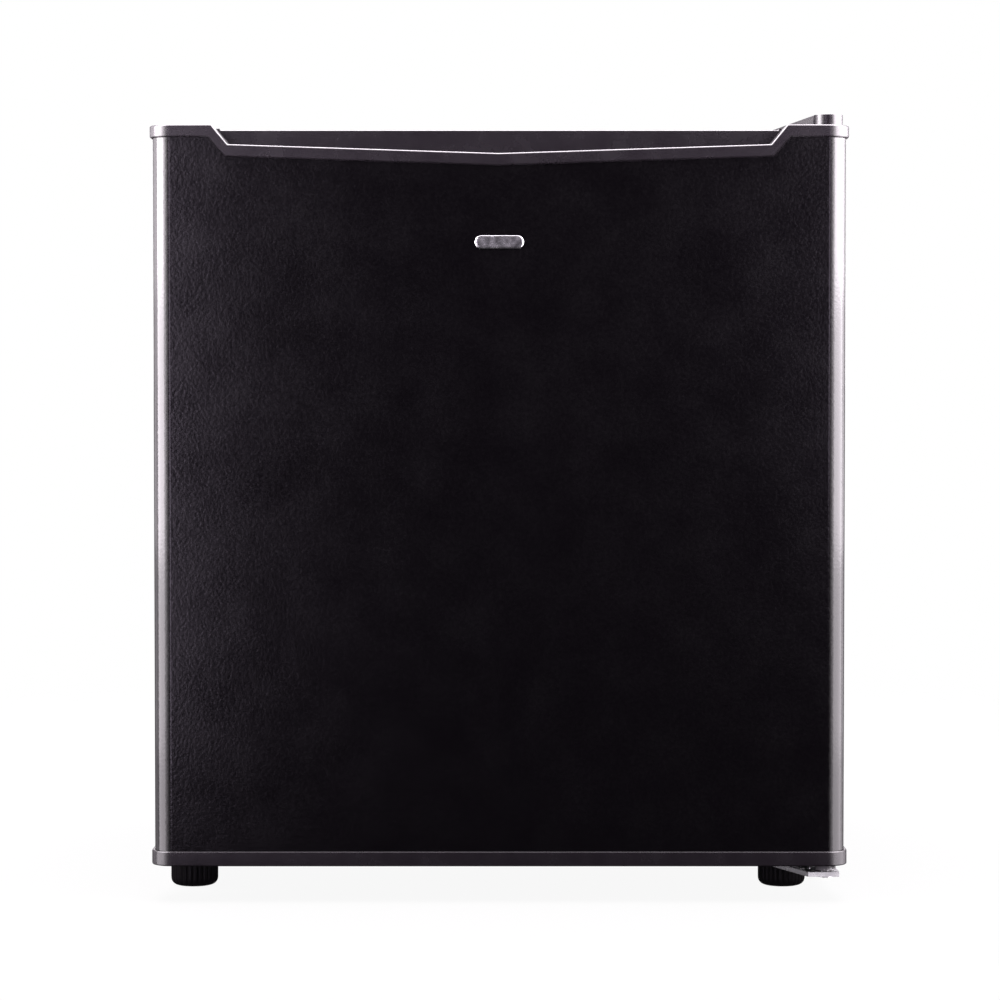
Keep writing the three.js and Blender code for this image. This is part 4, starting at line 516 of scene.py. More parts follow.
def on_lip(p):
    """The band's upper edge, along the front only."""
    return on_cap_outline(p) and abs(door_high.z - p.z - dip_at(p.x)) < 0.4 * MM


def on_band_foot(p):
    """The band's lower edge, which leans outwards from the dip a little."""
    below = door_high.z - p.z - dip_at(p.x)
    return on_cap_outline(p) and BAND - 1.2 * MM < below < BAND + 6 * MM


def on_pocket(p):
    """The finger pocket's edges and the rim behind it."""
    return abs(p.x) < POCKET_HALF and cap_front + 4 * MM < p.y < POCKET_BACK and p.z > POCKET_LOW


top_cap = welded("door_top_cap")
round_off(top_cap, LIP_ROUND, 5, on_lip)
round_off(top_cap, BAND_ROUND, 4, on_band_foot, clamp=False)
round_off(top_cap, 0.8 * MM, 2, on_pocket)
lip_group.objects.link(
    piece("door_cap_top", top_cap, cap_black, "door", "door_top_cap", slot="trim_black", strip_lit=True)
)

bottom_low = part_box("door_bottom_cap")[0].z


def shows_on_bottom_cap(p):
    """The edges of its underside and of its outline."""
    return p.z < bottom_low + 0.3 * MM or on_cap_outline(p)


bottom_cap = softened("door_bottom_cap", 1.1 * MM, 3, shows_on_bottom_cap, 28)
piece(
    "door_cap_bottom", bottom_cap, cap_black, "door", "door_bottom_cap",
    slot="trim_black", strip_lit=True,
)


# ------------------------------------------------------------------ door lining
# White vacuum-formed sheet behind the door. A raised frame reaches into the food space and
# keeps the bins between its sides; small lugs on it carry their hooks.
def rounded_ring(a0, a1, b0, b1, r, steps=8):
    """Points round a rectangle with rounded corners, always the same number of them."""
    points = []
    corners = ((a1 - r, b1 - r, 0), (a0 + r, b1 - r, 90), (a0 + r, b0 + r, 180), (a1 - r, b0 + r, 270))
    for ca, cb, start in corners:
        for k in range(steps + 1):
            angle = math.radians(start + 90 * k / steps)
            points.append((ca + r * math.cos(angle), cb + r * math.sin(angle)))
    return points


def lofted(rings, closed=False, cap_first=False, cap_last=False):
    """Skins rings of equally many points, each a list of places."""
    shape = bmesh.new()
    lines = [[shape.verts.new(p) for p in ring] for ring in rings]
    count = len(lines[0])
    spans = len(lines) if closed else len(lines) - 1
    for i in range(spans):
        a, b = lines[i], lines[(i + 1) % len(lines)]
        for k in range(count):
            n = (k + 1) % count
            shape.faces.new([a[k], a[n], b[n], b[k]])
    if cap_first:
        shape.faces.new(lines[0][::-1])
    if cap_last:
        shape.faces.new(lines[-1])
    bmesh.ops.remove_doubles(shape, verts=shape.verts, dist=1e-7)
    bmesh.ops.recalc_face_normals(shape, faces=shape.faces)
    return shape


def joined(*shapes):
    """Several shapes as one."""
    whole = shapes[0]
    for other in shapes[1:]:
        carrier = bpy.data.meshes.new("carrier")
        other.to_mesh(carrier)
        other.free()
        whole.from_mesh(carrier)
        bpy.data.meshes.remove(carrier)
    return whole


def boxed(x0, x1, y0, y1, z0, z1, edge, segments=2):
    """A block with rounded edges."""
    shape = bmesh.new()
    bmesh.ops.create_cube(shape, size=1)
    for v in shape.verts:
        v.co.x = x0 if v.co.x < 0 else x1
        v.co.y = y0 if v.co.y < 0 else y1
        v.co.z = z0 if v.co.z < 0 else z1
    bmesh.ops.bevel(
        shape, geom=shape.edges[:], offset=edge, segments=segments, profile=0.5, affect="EDGES"
    )
    return shape


DIKE_HALF = 0.181
DIKE_LOW = 0.062
DIKE_TOP = 0.452
SHEET = 1.6 * MM
door_liner_low, door_liner_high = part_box("door_liner")
flange_y = door_liner_low.y + SHEET
dike_profile = [
    # in from the flange's edge or the frame's outer side, depth behind the door, corner radius
    (-36.0, 0.0, 6), (-35.6, 0.6, 6), (-1.5, 0.6, 9), (-0.3, 1.2, 9), (0.1, 2.6, 9),
    (0.9, 20.5, 9), (1.8, 22.9, 8), (3.8, 24.0, 8), (9.2, 24.0, 7), (11.4, 23.0, 7),
    (12.4, 20.5, 7), (13.2, 4.0, 7), (14.4, 1.6, 8), (17.0, 0.8, 10), (60.0, 0.4, 12),
]


def lining_ring(inset, out, radius):
    i = inset * MM
    half = min(DIKE_HALF - i, door_liner_high.x)
    low = max(DIKE_LOW + i, door_liner_low.z)
    high = min(DIKE_TOP - i, door_liner_high.z)
    y = flange_y + out * MM
    return [(x, y, z) for x, z in rounded_ring(-half, half, low, high, radius * MM)]


door_lining = lofted([lining_ring(*p) for p in dike_profile], cap_last=True)
lug_boxes = []
BIN_HOOK = 3.4  # how far a hook reaches past the bin's side
LUG_HEIGHT = 14 * MM
LUG_REACH = 18 * MM
for node in ("bottle_bin", "small_bin"):
    bin_low, bin_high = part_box(node)
    top = bin_low.z + 29.7 * MM
    back = flange_y - 0.5 * MM
    for x in (bin_low.x + BIN_HOOK * MM - 4.3 * MM, bin_high.x - BIN_HOOK * MM + 0.3 * MM):
        lug_boxes.append(
            boxed(x, x + 4 * MM, back, flange_y + LUG_REACH, top - LUG_HEIGHT, top, 0.8 * MM)
        )
bmesh.ops.recalc_face_normals(door_lining, faces=door_lining.faces)
thick = bpy.data.meshes.new("carrier")
door_lining.to_mesh(thick)
door_lining.free()
carrier = bpy.data.objects.new("carrier", thick)
bpy.context.collection.objects.link(carrier)
wall = carrier.modifiers.new("wall", "SOLIDIFY")
wall.thickness = 1.4 * MM
wall.offset = 1 if thick.polygons[-1].normal.y < 0 else -1
dg = bpy.context.evaluated_depsgraph_get()
door_lining = bmesh.new()
door_lining.from_mesh(carrier.evaluated_get(dg).data)
bpy.data.objects.remove(carrier)
door_lining = joined(door_lining, *lug_boxes)
piece("door_lining", door_lining, glossy_white, "door", "door_liner", slot="liner_white")


# ------------------------------------------------------------------ door seal
# Extruded soft PVC with a magnet inside, welded at the corners. It has a dart pushed into the
# door's lining, a bellows that takes up play, and a flat face that closes on the cabinet.
seal_rubber = surface(
    "seal_rubber", (0.030, 0.029, 0.031), 0.55, mottle=0.12, mottle_size=0.02, grain_size=0.0006,
    grain_depth=0.00002,
)
seal_low, seal_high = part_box("door_seal")
seal_span = (seal_high.y - seal_low.y) / MM
seal_profile = [
    # out from the inner edge, behind the door
    (4.5, 0.0), (12.0, 0.0), (12.6, 0.5), (12.6, 1.8), (11.6, 2.3), (11.6, 3.0), (13.4, 3.6),
    (15.6, 4.4), (16.4, 5.2), (16.5, 6.4), (15.4, 7.2), (16.0, 7.8), (16.0, 8.9), (15.4, 9.4),
    (1.1, 9.4), (0.5, 8.9), (0.5, 7.8), (1.1, 7.2), (0.0, 6.4), (0.1, 5.2), (0.9, 4.4),
    (3.1, 3.6), (4.9, 3.0), (4.9, 2.3), (3.9, 1.8), (3.9, 0.5),
]
seal_rings = []
for out, behind in seal_profile:
    w = 16.5 - out
    x0, x1 = seal_low.x + w * MM, seal_high.x - w * MM
    z0, z1 = seal_low.z + w * MM, seal_high.z - w * MM
    y = seal_low.y + behind * MM * seal_span / 9.4
    ring = rounded_ring(x0, x1, z0, z1, (1.0 + out * 0.25) * MM, 5)
    seal_rings.append([(x, y, z) for x, z in ring])
seal = lofted(seal_rings, closed=True)
piece("magnetic_seal", seal, seal_rubber, "door", "door_seal", slot="seal_grey", sharp=50)


# ------------------------------------------------------------------ nameplate
# A small blank plate of satin chrome with round ends, softly domed towards the front and
# glued to the door.
satin_chrome = surface(
    "satin_chrome", (0.62, 0.62, 0.64), 0.24, metallic=1.0, mottle=0.05, gloss_spread=0.1,
    gloss_size=0.004, grain_size=0.0004, grain_depth=0.000004,
)
plate_low, plate_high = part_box("nameplate")
plate_z = (plate_low.z + plate_high.z) / 2
plate_half = (plate_high.z - plate_low.z) / 2
plate_reach = (plate_high.x - plate_low.x) / 2
plate_rings = []
for shrink, out in ((0, 0), (0, 0.35), (0.12, 0.6), (0.45, 0.82), (1.0, 0.93), (1.8, 1.0)):
    half = plate_half - shrink * MM
    reach = plate_reach - shrink * MM
    y = plate_high.y - out * (plate_high.y - plate_low.y)
    ring = rounded_ring(-reach, reach, plate_z - half, plate_z + half, half * 0.999, 12)
    plate_rings.append([(x, y, z) for x, z in ring])
badge = lofted(plate_rings, cap_first=True, cap_last=True)
piece("blank_nameplate", badge, satin_chrome, "door", "nameplate", slot="badge_metal", strip_lit=True)


# ------------------------------------------------------------------ hinges
# The upper plate is screwed to the cabinet's top and steps up over the door. The lower one is
# bolted under the cabinet, steps down below the door and has pressed ribs along its front.
plated_steel = surface(
    "zinc_plated_steel", (0.58, 0.585, 0.60), 0.3, metallic=0.95, mottle=0.08, mottle_size=0.01,
    gloss_spread=0.14, gloss_size=0.004, grain_size=0.0006, grain_depth=0.000008,
)


def turned(profile, sides=40, place=(0, 0, 0), axis="z", closed=False):
    """A profile of (radius, height) in millimetres, spun round an axis; a closed one has a bore."""
    rings = []
    for r, h in profile:
        ring = []
        for k in range(sides):
            angle = 2 * math.pi * k / sides
            a, b, c = r * MM * math.cos(angle), r * MM * math.sin(angle), h * MM
            spot = (a, b, c) if axis == "z" else (a, c, b)
            ring.append(tuple(s + p for s, p in zip(spot, place)))
        rings.append(ring)
    capped = not closed
    return lofted(rings, closed, capped and profile[0][0] > 0, capped and profile[-1][0] > 0)


NOSE_RUN = (21.0, -49.0, 0)  # the way the lower plate's nose points, seen from above
RIB_START = (0.183, -0.1880)
RIB_RISE = 4.0 * MM
for node in ("upper_hinge_plate", "lower_hinge_plate"):
    plate = softened(node, 0.35 * MM, sharper_than=40)
    if node == "lower_hinge_plate":
        slant = Vector(NOSE_RUN).normalized()
        across = Vector((slant.y, -slant.x, 0))
        for step in (3.5, 8.0):
            start = Vector((*RIB_START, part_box(node)[0].z + RIB_RISE)) - across * step * MM
            rib = turned([(0.0, 0), (1.2, 0.8), (1.5, 2.0), (1.5, 22.0), (1.2, 23.2), (0.0, 24)], 12)
            turn = slant.to_track_quat("Z", "Y").to_matrix().to_4x4()
            turn.translation = start
            rib.transform(turn)
            plate = joined(plate, rib)
    pressing = piece(
        node + "_pressing", plate, plated_steel, "cabinet", node, slot="zinc_steel", strip_lit=True
    )
    hinge_group.objects.link(pressing)


def screw(name, node, upwards):
    """A cross-recessed pan-head screw; its head is at the outer end."""
    low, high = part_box(node)
    centre = (low + high) / 2
    length = (high.z - low.z) / MM
    head = 2.2
    profile = [(0, 0), (0.5, 0.1), (1.5, 2.2)]
    thread = 2.6
    while thread < length - head - 0.6:
        profile += [(1.55, thread), (2.0, thread + 0.35), (1.55, thread + 0.7)]
        thread += 0.9
    top = length - head
    profile += [(2.0, top - 0.05), (4.1, top), (4.2, top + 0.3), (4.0, top + 1.2)]
    profile += [(3.2, top + 1.9), (1.6, top + 2.2)]
    shaft = turned(profile, 32)
    for k in range(2):
        blade = boxed(-1.9 * MM, 1.9 * MM, -0.35 * MM, 0.35 * MM, 0, 0.25 * MM, 0.1 * MM, 1)
        for v in blade.verts:
            v.co.z += (top + 2.05) * MM
            if k:
                v.co.x, v.co.y = v.co.y, v.co.x
        bmesh.ops.recalc_face_normals(blade, faces=blade.faces)
        shaft = joined(shaft, blade)
    for v in shaft.verts:
        z = v.co.z
        v.co.z = (high.z - z) if upwards else (low.z + z)
        v.co.x += centre.x
        v.co.y += centre.y
    bmesh.ops.recalc_face_normals(shaft, faces=shaft.faces)
    piece(name, shaft, plated_steel, "cabinet", node, slot="screw_steel")


for number in (1, 2):
    screw(f"upper_screw_{number}", f"upper_hinge_screw_{number}", False)
    screw(f"lower_screw_{number}", f"lower_hinge_screw_{number}", True)

hinge_cover = softened("upper_hinge_cover", 1.0 * MM, 4, sharper_than=20)
cover = piece(
    "hinge_cover", hinge_cover, cap_black, "cabinet", "upper_hinge_cover",
    slot="trim_black", strip_lit=True,
)
lip_group.objects.link(cover)

white_nylon = surface(
    "white_nylon", (0.72, 0.72, 0.70), 0.35, mottle=0.03, grain_size=0.0008, grain_depth=0.00001,
    Subsurface_Weight=0.1, Subsurface_Radius=(0.002, 0.002, 0.002),
)
BORE = 3.85
for node in ("hinge_washer", "lower_hinge_bush", "upper_hinge_bush"):
    body = "cabinet" if node == "hinge_washer" else "door"
    low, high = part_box(node)
    centre = (low + high) / 2
    height = (high.z - low.z) / MM
    profile = [(BORE, 0.3), (BORE + 0.3, 0), (6.1, 0), (6.5, 0.4), (6.5, height - 0.4)]
    profile += [(6.1, height), (BORE + 0.3, height), (BORE, height - 0.3)]
    ring = turned(profile, 40, (centre.x, centre.y, low.z), closed=True)
    piece(node + "_ring", ring, white_nylon, body, node, slot="white_plastic")


# ------------------------------------------------------------------ feet
# The two front feet are ribbed heads moulded on threaded studs, turned by hand to level the
# cabinet. The two rear feet are plain moulded pads.
foot_black = surface(
    "moulded_foot_plastic", (0.018, 0.016, 0.018), 0.42, mottle=0.15, mottle_size=0.012,
    grain_size=0.0007, grain_depth=0.00003,
)
FOOT_RIBS = 26
RIB_SAMPLES = 10  # points round a rib
HEAD_RADIUS = 15.45
HEAD_HEIGHT = 17.0
GROOVE = 0.75
for node in ("foot_left", "foot_right"):
    low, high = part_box(node)
    centre = (low + high) / 2
    # share of the radius, height, share of the ribs' depth
    rows = [(0.55, 0.0, 0), (0.72, 0.0, 0), (0.80, 0.35, 0.1), (0.88, 1.0, 0.3), (0.94, 2.0, 0.6)]
    rows += [(0.975, 3.0, 0.85), (0.995, 4.2, 1), (1.0, 5.6, 1), (1.0, 14.8, 1), (0.99, 16.0, 1)]
    rows += [(0.965, 16.7, 0.7), (0.93, 17.0, 0.2)]
    rings = []
    for share, z, ribbed in rows:
        ring = []
        count = FOOT_RIBS * RIB_SAMPLES
        for k in range(count):
            phase = (k % RIB_SAMPLES) / RIB_SAMPLES
            groove = max(0.0, 1 - abs(phase - 0.5) / 0.22)
            r = HEAD_RADIUS * share - GROOVE * ribbed * groove ** 0.7
            angle = 2 * math.pi * k / count
            x = centre.x + r * MM * math.cos(angle)
            y = centre.y + r * MM * math.sin(angle)
            ring.append((x, y, low.z + z * MM))
        rings.append(ring)
    foot = lofted(rings, cap_first=True, cap_last=True)
    stud_top = (high.z - low.z) / MM
    thread = [(4.6, HEAD_HEIGHT - 0.5), (4.6, HEAD_HEIGHT + 1.0)]
    z = HEAD_HEIGHT + 1.2
    while z < stud_top - 2:
        thread += [(3.35, z), (4.0, z + 0.5), (3.35, z + 1.0)]
        z += 1.25
    thread += [(3.2, stud_top - 0.6), (2.6, stud_top)]
    stud = turned(thread, 32, (centre.x, centre.y, low.z))
    piece(f"{node}_head", foot, foot_black, node, node, slot="foot_black")
    piece(f"{node}_stud", stud, plated_steel, node, slot="foot_black")

for side in ("left", "right"):
    node = f"rear_foot_{side}"
    low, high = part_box(node)
    centre = (low + high) / 2
    pad = [(9.5, 0), (11.0, 0.0), (11.9, 0.3), (12.6, 1.0), (13.0, 2.0), (13.0, 3.2), (12.7, 3.6)]
    pad += [(12.7, 20.6), (13.0, 21.0), (13.0, 23.2), (12.5, 23.7), (3.2, 23.7), (3.2, 26.5)]
    pad += [(3.5, 27.2), (2.2, 28.7)]
    foot = turned(pad, 48, (centre.x, centre.y, low.z))
    piece(f"rear_foot_pad_{side}", foot, foot_black, "cabinet", node, slot="foot_black")
    finished_as_is(f"foot_socket_{side}", plated_steel)


# ------------------------------------------------------------------ compressor
# A deep-drawn steel can in two halves, welded round its middle and dipped in black enamel,
# on a foot plate with four rubber grommets. A moulded cover clips over its terminals.
black_enamel = surface(
    "black_enamel", (0.012, 0.012, 0.013), 0.3, mottle=0.25, mottle_size=0.02, gloss_spread=0.2,
    gloss_size=0.012, grain_size=0.003, grain_depth=0.00006,
)
soft_rubber = surface(
    "soft_rubber", (0.02, 0.02, 0.02), 0.75, mottle=0.3, mottle_size=0.008, grain_size=0.0008,
    grain_depth=0.00003,
)
matt_black = surface(
    "matt_black_moulding", (0.022, 0.022, 0.023), 0.5, mottle=0.12, mottle_size=0.02,
    grain_size=0.0007, grain_depth=0.00003,
)


def bent(corners, bend, steps=9):
    """A path through corner points in millimetres with each corner turned to the bend radius."""
    p = [Vector(c) for c in corners]
    path = [p[0]]
    for before, here, after in zip(p, p[1:], p[2:]):
        a, b = before - here, after - here
        half = a.angle(b) / 2
        reach = min(bend / math.tan(half), a.length / 2, b.length / 2)
        start = here + a.normalized() * reach
        end = here + b.normalized() * reach
        for k in range(steps + 1):
            t = k / steps
            path.append(start * (1 - t) ** 2 + here * 2 * t * (1 - t) + end * t ** 2)
    path.append(p[-1])
    return [q for i, q in enumerate(path) if i == 0 or (q - path[i - 1]).length > 0.02]


def tube(path, radius, sides=16):
    """A round tube along a path in millimetres."""
    normal = None
    rings = []
    for i, q in enumerate(path):
        before = q - path[i - 1] if i else path[1] - q
        after = path[i + 1] - q if i < len(path) - 1 else q - path[i - 1]
        tangent = (before.normalized() + after.normalized()).normalized()
        if normal is None:
            normal = tangent.orthogonal().normalized()
        normal = (normal - tangent * normal.dot(tangent)).normalized()
        side = tangent.cross(normal)
        ring = []
        for k in range(sides):
            angle = 2 * math.pi * k / sides
            spoke = q + normal * radius * math.cos(angle) + side * radius * math.sin(angle)
            ring.append(spoke * MM)
        rings.append(ring)
    return lofted(rings, cap_first=True, cap_last=True)


can_low, can_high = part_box("compressor")
grommet_boxes = [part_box(f"compressor_grommet_{i}") for i in (1, 2, 3, 4)]
grommet_places = [(low + high) / 2 for low, high in grommet_boxes]
can_x = sum(p.x for p in grommet_places) / 4 / MM
can_y = sum(p.y for p in grommet_places) / 4 / MM
CAN_RADIUS = 52.0
can_height = (can_high.z - can_low.z) / MM
can_z = can_low.z / MM
seam = can_height * 0.52
can_profile = [(0, 0), (14, 0.3), (26, 0.9), (36, 3.0), (43.5, 7.0), (48, 12.0), (50.2, 18.0)]
can_profile += [(50.4, seam - 2.2), (51.0, seam - 1.6), (51.8, seam - 1.2), (52.0, seam - 0.4)]
can_profile += [(52.0, seam + 3.4), (51.7, seam + 4.4), (50.6, seam + 4.9), (49.4, seam + 5.2)]
can_profile += [(48.9, seam + 6.4), (48.9, can_height * 0.78), (48.2, can_height * 0.83)]
can_profile += [(46.0, can_height * 0.885), (41.5, can_height * 0.93), (34.0, can_height * 0.962)]
can_profile += [(24.0, can_height * 0.985), (12.0, can_height * 0.997), (0, can_height)]
can = turned(can_profile, 72, (can_x * MM, can_y * MM, can_low.z))
GROMMET_SHOULDER = 14  # the foot plate rests just above it
foot_plate_low = grommet_boxes[0][0].z / MM + GROMMET_SHOULDER + 0.3
half_x, half_y = 68.0, 46.0
plate_rings = []
for inset, z in ((0.5, 0.0), (0, 0.5), (0, 2.5), (0.5, 3.0)):
    ring = rounded_ring(-half_x + inset, half_x - inset, -half_y + inset, half_y - inset, 10.0)
    plate_rings.append(
        [((can_x + x) * MM, (can_y + y) * MM, (foot_plate_low + z) * MM) for x, y in ring]
    )
foot_plate = lofted(plate_rings, cap_first=True, cap_last=True)
stub_x, stub_y, stub_z = can_x + 65.2, can_y - 28, can_z + can_height * 0.35
stub_corners = [
    (can_x + 31.2, can_y - 26, stub_z), (stub_x, stub_y, stub_z), (stub_x, stub_y, stub_z + 25.4),
]
stub = tube(bent(stub_corners, 8), 2.5)
pinched = turned([(2.5, 0), (2.6, 0.3), (1.2, 4.0), (0.5, 5.0)], 16)
for v in pinched.verts:
    v.co.y *= max(0.35, 1 - v.co.z / (4 * MM) * 0.65)
    v.co += Vector((stub_x, stub_y, stub_z + 22.0)) * MM
piece(
    "compressor_can", joined(can, foot_plate, stub, pinched), black_enamel,
    "cabinet", "compressor", slot="black_steel",
)
for number, (low, high) in enumerate(grommet_boxes, 1):
    centre = (low + high) / 2
    rubber = [(2.2, 0.4), (4.6, 0), (5.0, 0.5), (5.0, 3), (7.6, 3), (8.0, 3.5), (8.0, 6.6)]
    rubber += [(7.0, 7.2), (7.0, 9.0), (8.0, 9.6), (8.0, 13.4), (7.6, 14.0), (5.0, 14.0)]
    rubber += [(5.0, 17.6), (4.5, 19.0), (2.2, 19.0)]
    grommet = turned(rubber, 32, (centre.x, centre.y, low.z))
    node = f"compressor_grommet_{number}"
    piece(f"rubber_grommet_{number}", grommet, soft_rubber, "cabinet", node, slot="rubber")

RELAY_MOUTH = -0.02  # its open side, against the can, stays sharp
relay = softened("relay_cover", 1.4 * MM, 3, lambda p: p.x < RELAY_MOUTH)
relay_low, relay_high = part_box("relay_cover")
clip_outer, clip_inner = relay_low.x / MM - 0.6, relay_low.x / MM + 22
clip_front, clip_back = relay_low.y / MM - 0.6, relay_high.y / MM + 0.6
clip_z = relay_low.z / MM + 40
clip_path = [
    (clip_inner, clip_front, clip_z),
    (clip_outer, clip_front, clip_z),
    (clip_outer, clip_back, clip_z),
    (clip_inner, clip_back, clip_z),
]
piece("terminal_cover", relay, matt_black, "cabinet", "relay_cover", slot="fitting_black")
piece("terminal_cover_clip", tube(bent(clip_path, 2.5), 0.9, 12), plated_steel, "cabinet")

gland_low, gland_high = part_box("cord_gland")
gland_half = [(6, 1.3), (7.5, 1.3), (8.0, 1.8), (8.0, 3.4), (7.4, 4), (4.0, 4)]
gland_profile = [(r, -h) for r, h in reversed(gland_half)] + gland_half
gland = turned(gland_profile, 36, (gland_low + gland_high) / 2, "y", closed=True)
piece("cord_inlet_bush", gland, soft_rubber, "cabinet", "cord_gland", slot="rubber")


# ------------------------------------------------------------------ condenser
# Twelve passes of steel tube with thin wires spot-welded across both faces, dipped in black
# paint and held off the back panel by a clip strip on each side.
coil_low, coil_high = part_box("condenser")
COIL_ROWS = 12
COIL_PITCH = 22.5
COIL_HALF = 176.0
COIL_RADIUS = 2.5
WIRE = 0.75  # radius
COIL_Y = coil_high.y / MM - 1.6 - COIL_RADIUS + 0.3
COIL_TOP = 472.5
COIL_LOW = COIL_TOP - (COIL_ROWS - 1) * COIL_PITCH
TAIL_X = 161.0
TAIL_LOW = coil_low.z / MM
COIL_END = COIL_HALF + COIL_PITCH / 2
corners = [(TAIL_X, COIL_Y, TAIL_LOW), (TAIL_X, COIL_Y, COIL_LOW)]
for row in range(COIL_ROWS):
    z = COIL_LOW + row * COIL_PITCH
    side = 1 if row % 2 else -1
    if row:
        corners.append((-side * COIL_HALF, COIL_Y, z))
    corners.append((side * COIL_HALF, COIL_Y, z))
corners[-1] = (COIL_END, COIL_Y, COIL_TOP)
coil = tube(bent(corners, COIL_PITCH / 2, 10), COIL_RADIUS, 14)
WIRES = 24
for i in range(WIRES):
    x = -COIL_HALF + 14 + (2 * COIL_HALF - 28) * i / (WIRES - 1)
    for y in (COIL_Y + COIL_RADIUS + WIRE - 0.25, COIL_Y - COIL_RADIUS - WIRE + 0.25):
        wire = tube([Vector((x, y, COIL_LOW - 8)), Vector((x, y, COIL_TOP + 8))], WIRE, 8)
        coil = joined(coil, wire)
piece("condenser_coil", coil, black_enamel, "cabinet", "condenser", slot="black_steel")
for side in ("left", "right"):
    node = f"condenser_bracket_{side}"
    strip = softened(node, 0.6 * MM)
    piece(f"condenser_clip_strip_{side}", strip, matt_black, "cabinet", node, slot="fitting_black")


# ------------------------------------------------------------------ copper circuit
# Drawn copper tube, brazed at its joints: the hot line from the can to the condenser, the
# liquid line to the drier, the hair-thin capillary with its spare loops, and the return line.
copper = surface(
    "drawn_copper", (0.62, 0.27, 0.15), 0.3, metallic=1.0, mottle=0.22, mottle_size=0.012,
    gloss_spread=0.2, gloss_size=0.006, grain_size=0.001, grain_depth=0.00001,
)
HOT_Z = can_z + can_height * 0.62
hot_line = [
    (can_x + CAN_RADIUS + 0.3, can_y, HOT_Z),
    (can_x + CAN_RADIUS + 24, can_y, HOT_Z),
    (TAIL_X, can_y + 10, HOT_Z),
    (TAIL_X, COIL_Y, HOT_Z),
    (TAIL_X, COIL_Y, TAIL_LOW - 0.3),
]
hot_tube = tube(bent(hot_line, 14), 2.5)
piece("hot_gas_line", hot_tube, copper, "cabinet", "discharge_tube", slot="copper")
drier_low, drier_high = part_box("filter_drier")
drier_x = -132.0
drier_y = (drier_low.y + drier_high.y) / 2 / MM
drier_top = drier_high.z / MM
CROSSING = 173.0  # height at which the liquid line crosses the back
liquid_line = [
    (COIL_END + 0.3, COIL_Y, COIL_TOP),
    (COIL_END + 12.3, COIL_Y, COIL_TOP),
    (COIL_END + 12.3, COIL_Y, CROSSING),
    (COIL_END + 12.3, drier_y, CROSSING),
    (drier_x, drier_y, CROSSING),
    (drier_x, drier_y, drier_top + 0.3),
]
liquid_tube = tube(bent(liquid_line, 9), 2.0)
piece("liquid_line", liquid_tube, copper, "cabinet", "liquid_tube", slot="copper")
drier = turned(
    [
        (0, 0), (1.6, 0), (2.2, 1.0), (3.0, 3.0), (6.0, 6.0), (8.2, 8.4), (9.0, 11.0),
        (9.0, 24.0), (8.7, 24.6), (8.7, 25.8), (9.0, 26.4), (9.0, 61.0), (8.3, 64.0),
        (6.0, 67.5), (3.6, 70.5), (3.0, 73.0), (2.6, 74.0),
    ],
    36,
    (drier_x * MM, drier_y * MM, drier_low.z),
)
piece("filter_drier_can", drier, copper, "cabinet", "filter_drier", slot="copper")
SUCTION_Z = can_z + can_height * 0.84
return_line = [
    (-62, 130, 197),
    (-62, 130, SUCTION_Z),
    (can_x - 56.9, can_y, SUCTION_Z),
    (can_x - 47.9, can_y, SUCTION_Z),
]
return_tube = tube(bent(return_line, 11), 3.2)
piece("return_line", return_tube, copper, "cabinet", "suction_tube", slot="copper")
start = drier_low.z / MM - 0.3
loop_x, loop_y, loop_r = drier_x + 34, drier_y - 30, 17
hair = [
    (drier_x, drier_y, start),
    (drier_x, drier_y, start - 10),
    (drier_x + 18, drier_y - 6, start - 14),
]
for i in range(17):  # two spare loops, of eight points each
    angle = math.pi / 2 - i / 8 * math.pi * 2
    x, y = loop_x + loop_r * math.cos(angle), loop_y + loop_r * math.sin(angle)
    hair.append((x, y, start - 10 + i * 1.1))
hair += [(-78, 136, 112.6), (-78, 130, 136.7), (-78, 130, 197)]
capillary = tube(bent(hair, 9, 5), 1.2, 12)
piece("capillary", capillary, copper, "cabinet", "capillary_tube", slot="copper")


# ------------------------------------------------------------------ freezer box
# Two aluminium sheets rolled into one with the refrigerant's channels blown up between them,
# folded to a box and hung from the food space's ceiling behind a white moulded surround.
cold_aluminium = surface(
    "lacquered_aluminium", (0.62, 0.63, 0.64), 0.38, metallic=0.9, mottle=0.07, mottle_size=0.03,
    gloss_spread=0.12, gloss_size=0.008, grain_size=0.0012, grain_depth=0.00001,
)
satin_white = surface(
    "satin_white_moulding", (0.74, 0.75, 0.76), 0.38, mottle=0.02, gloss_spread=0.08,
    grain_size=0.0009, grain_depth=0.00002, Subsurface_Weight=0.05,
    Subsurface_Radius=(0.003, 0.003, 0.003),
)
ice_low, ice_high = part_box("evaporator")
channel_parts = [softened("evaporator", 0.5 * MM)]
x0, x1 = ice_low.x / MM, ice_high.x / MM
y0, y1 = ice_low.y / MM + 14, ice_high.y / MM - 12
z0, z1 = ice_low.z / MM, ice_high.z / MM
CHANNEL = 2.6  # radius before it is flattened
FLATTENED = 0.62
FLOOR_LANES = 8
level = z0 + 1.3
floor_lanes = []
for lane in range(FLOOR_LANES):
    x = x0 + 16 + (x1 - x0 - 32) * lane / (FLOOR_LANES - 1)
    ends = (y0, y1) if lane % 2 else (y1, y0)
    floor_lanes += [(x, ends[0], level), (x, ends[1], level)]
lane_tube = tube(bent(floor_lanes, 11, 6), CHANNEL, 12)
for v in lane_tube.verts:
    v.co.z = (level + (v.co.z / MM - level) * FLATTENED) * MM
channel_parts.append(lane_tube)
side_lanes = []
for lane in range(4):
    z = z0 + 18 + (z1 - z0 - 36) * lane / 3
    ends = (y0, y1) if lane % 2 else (y1, y0)
    side_lanes += [(0, ends[0], z), (0, ends[1], z)]
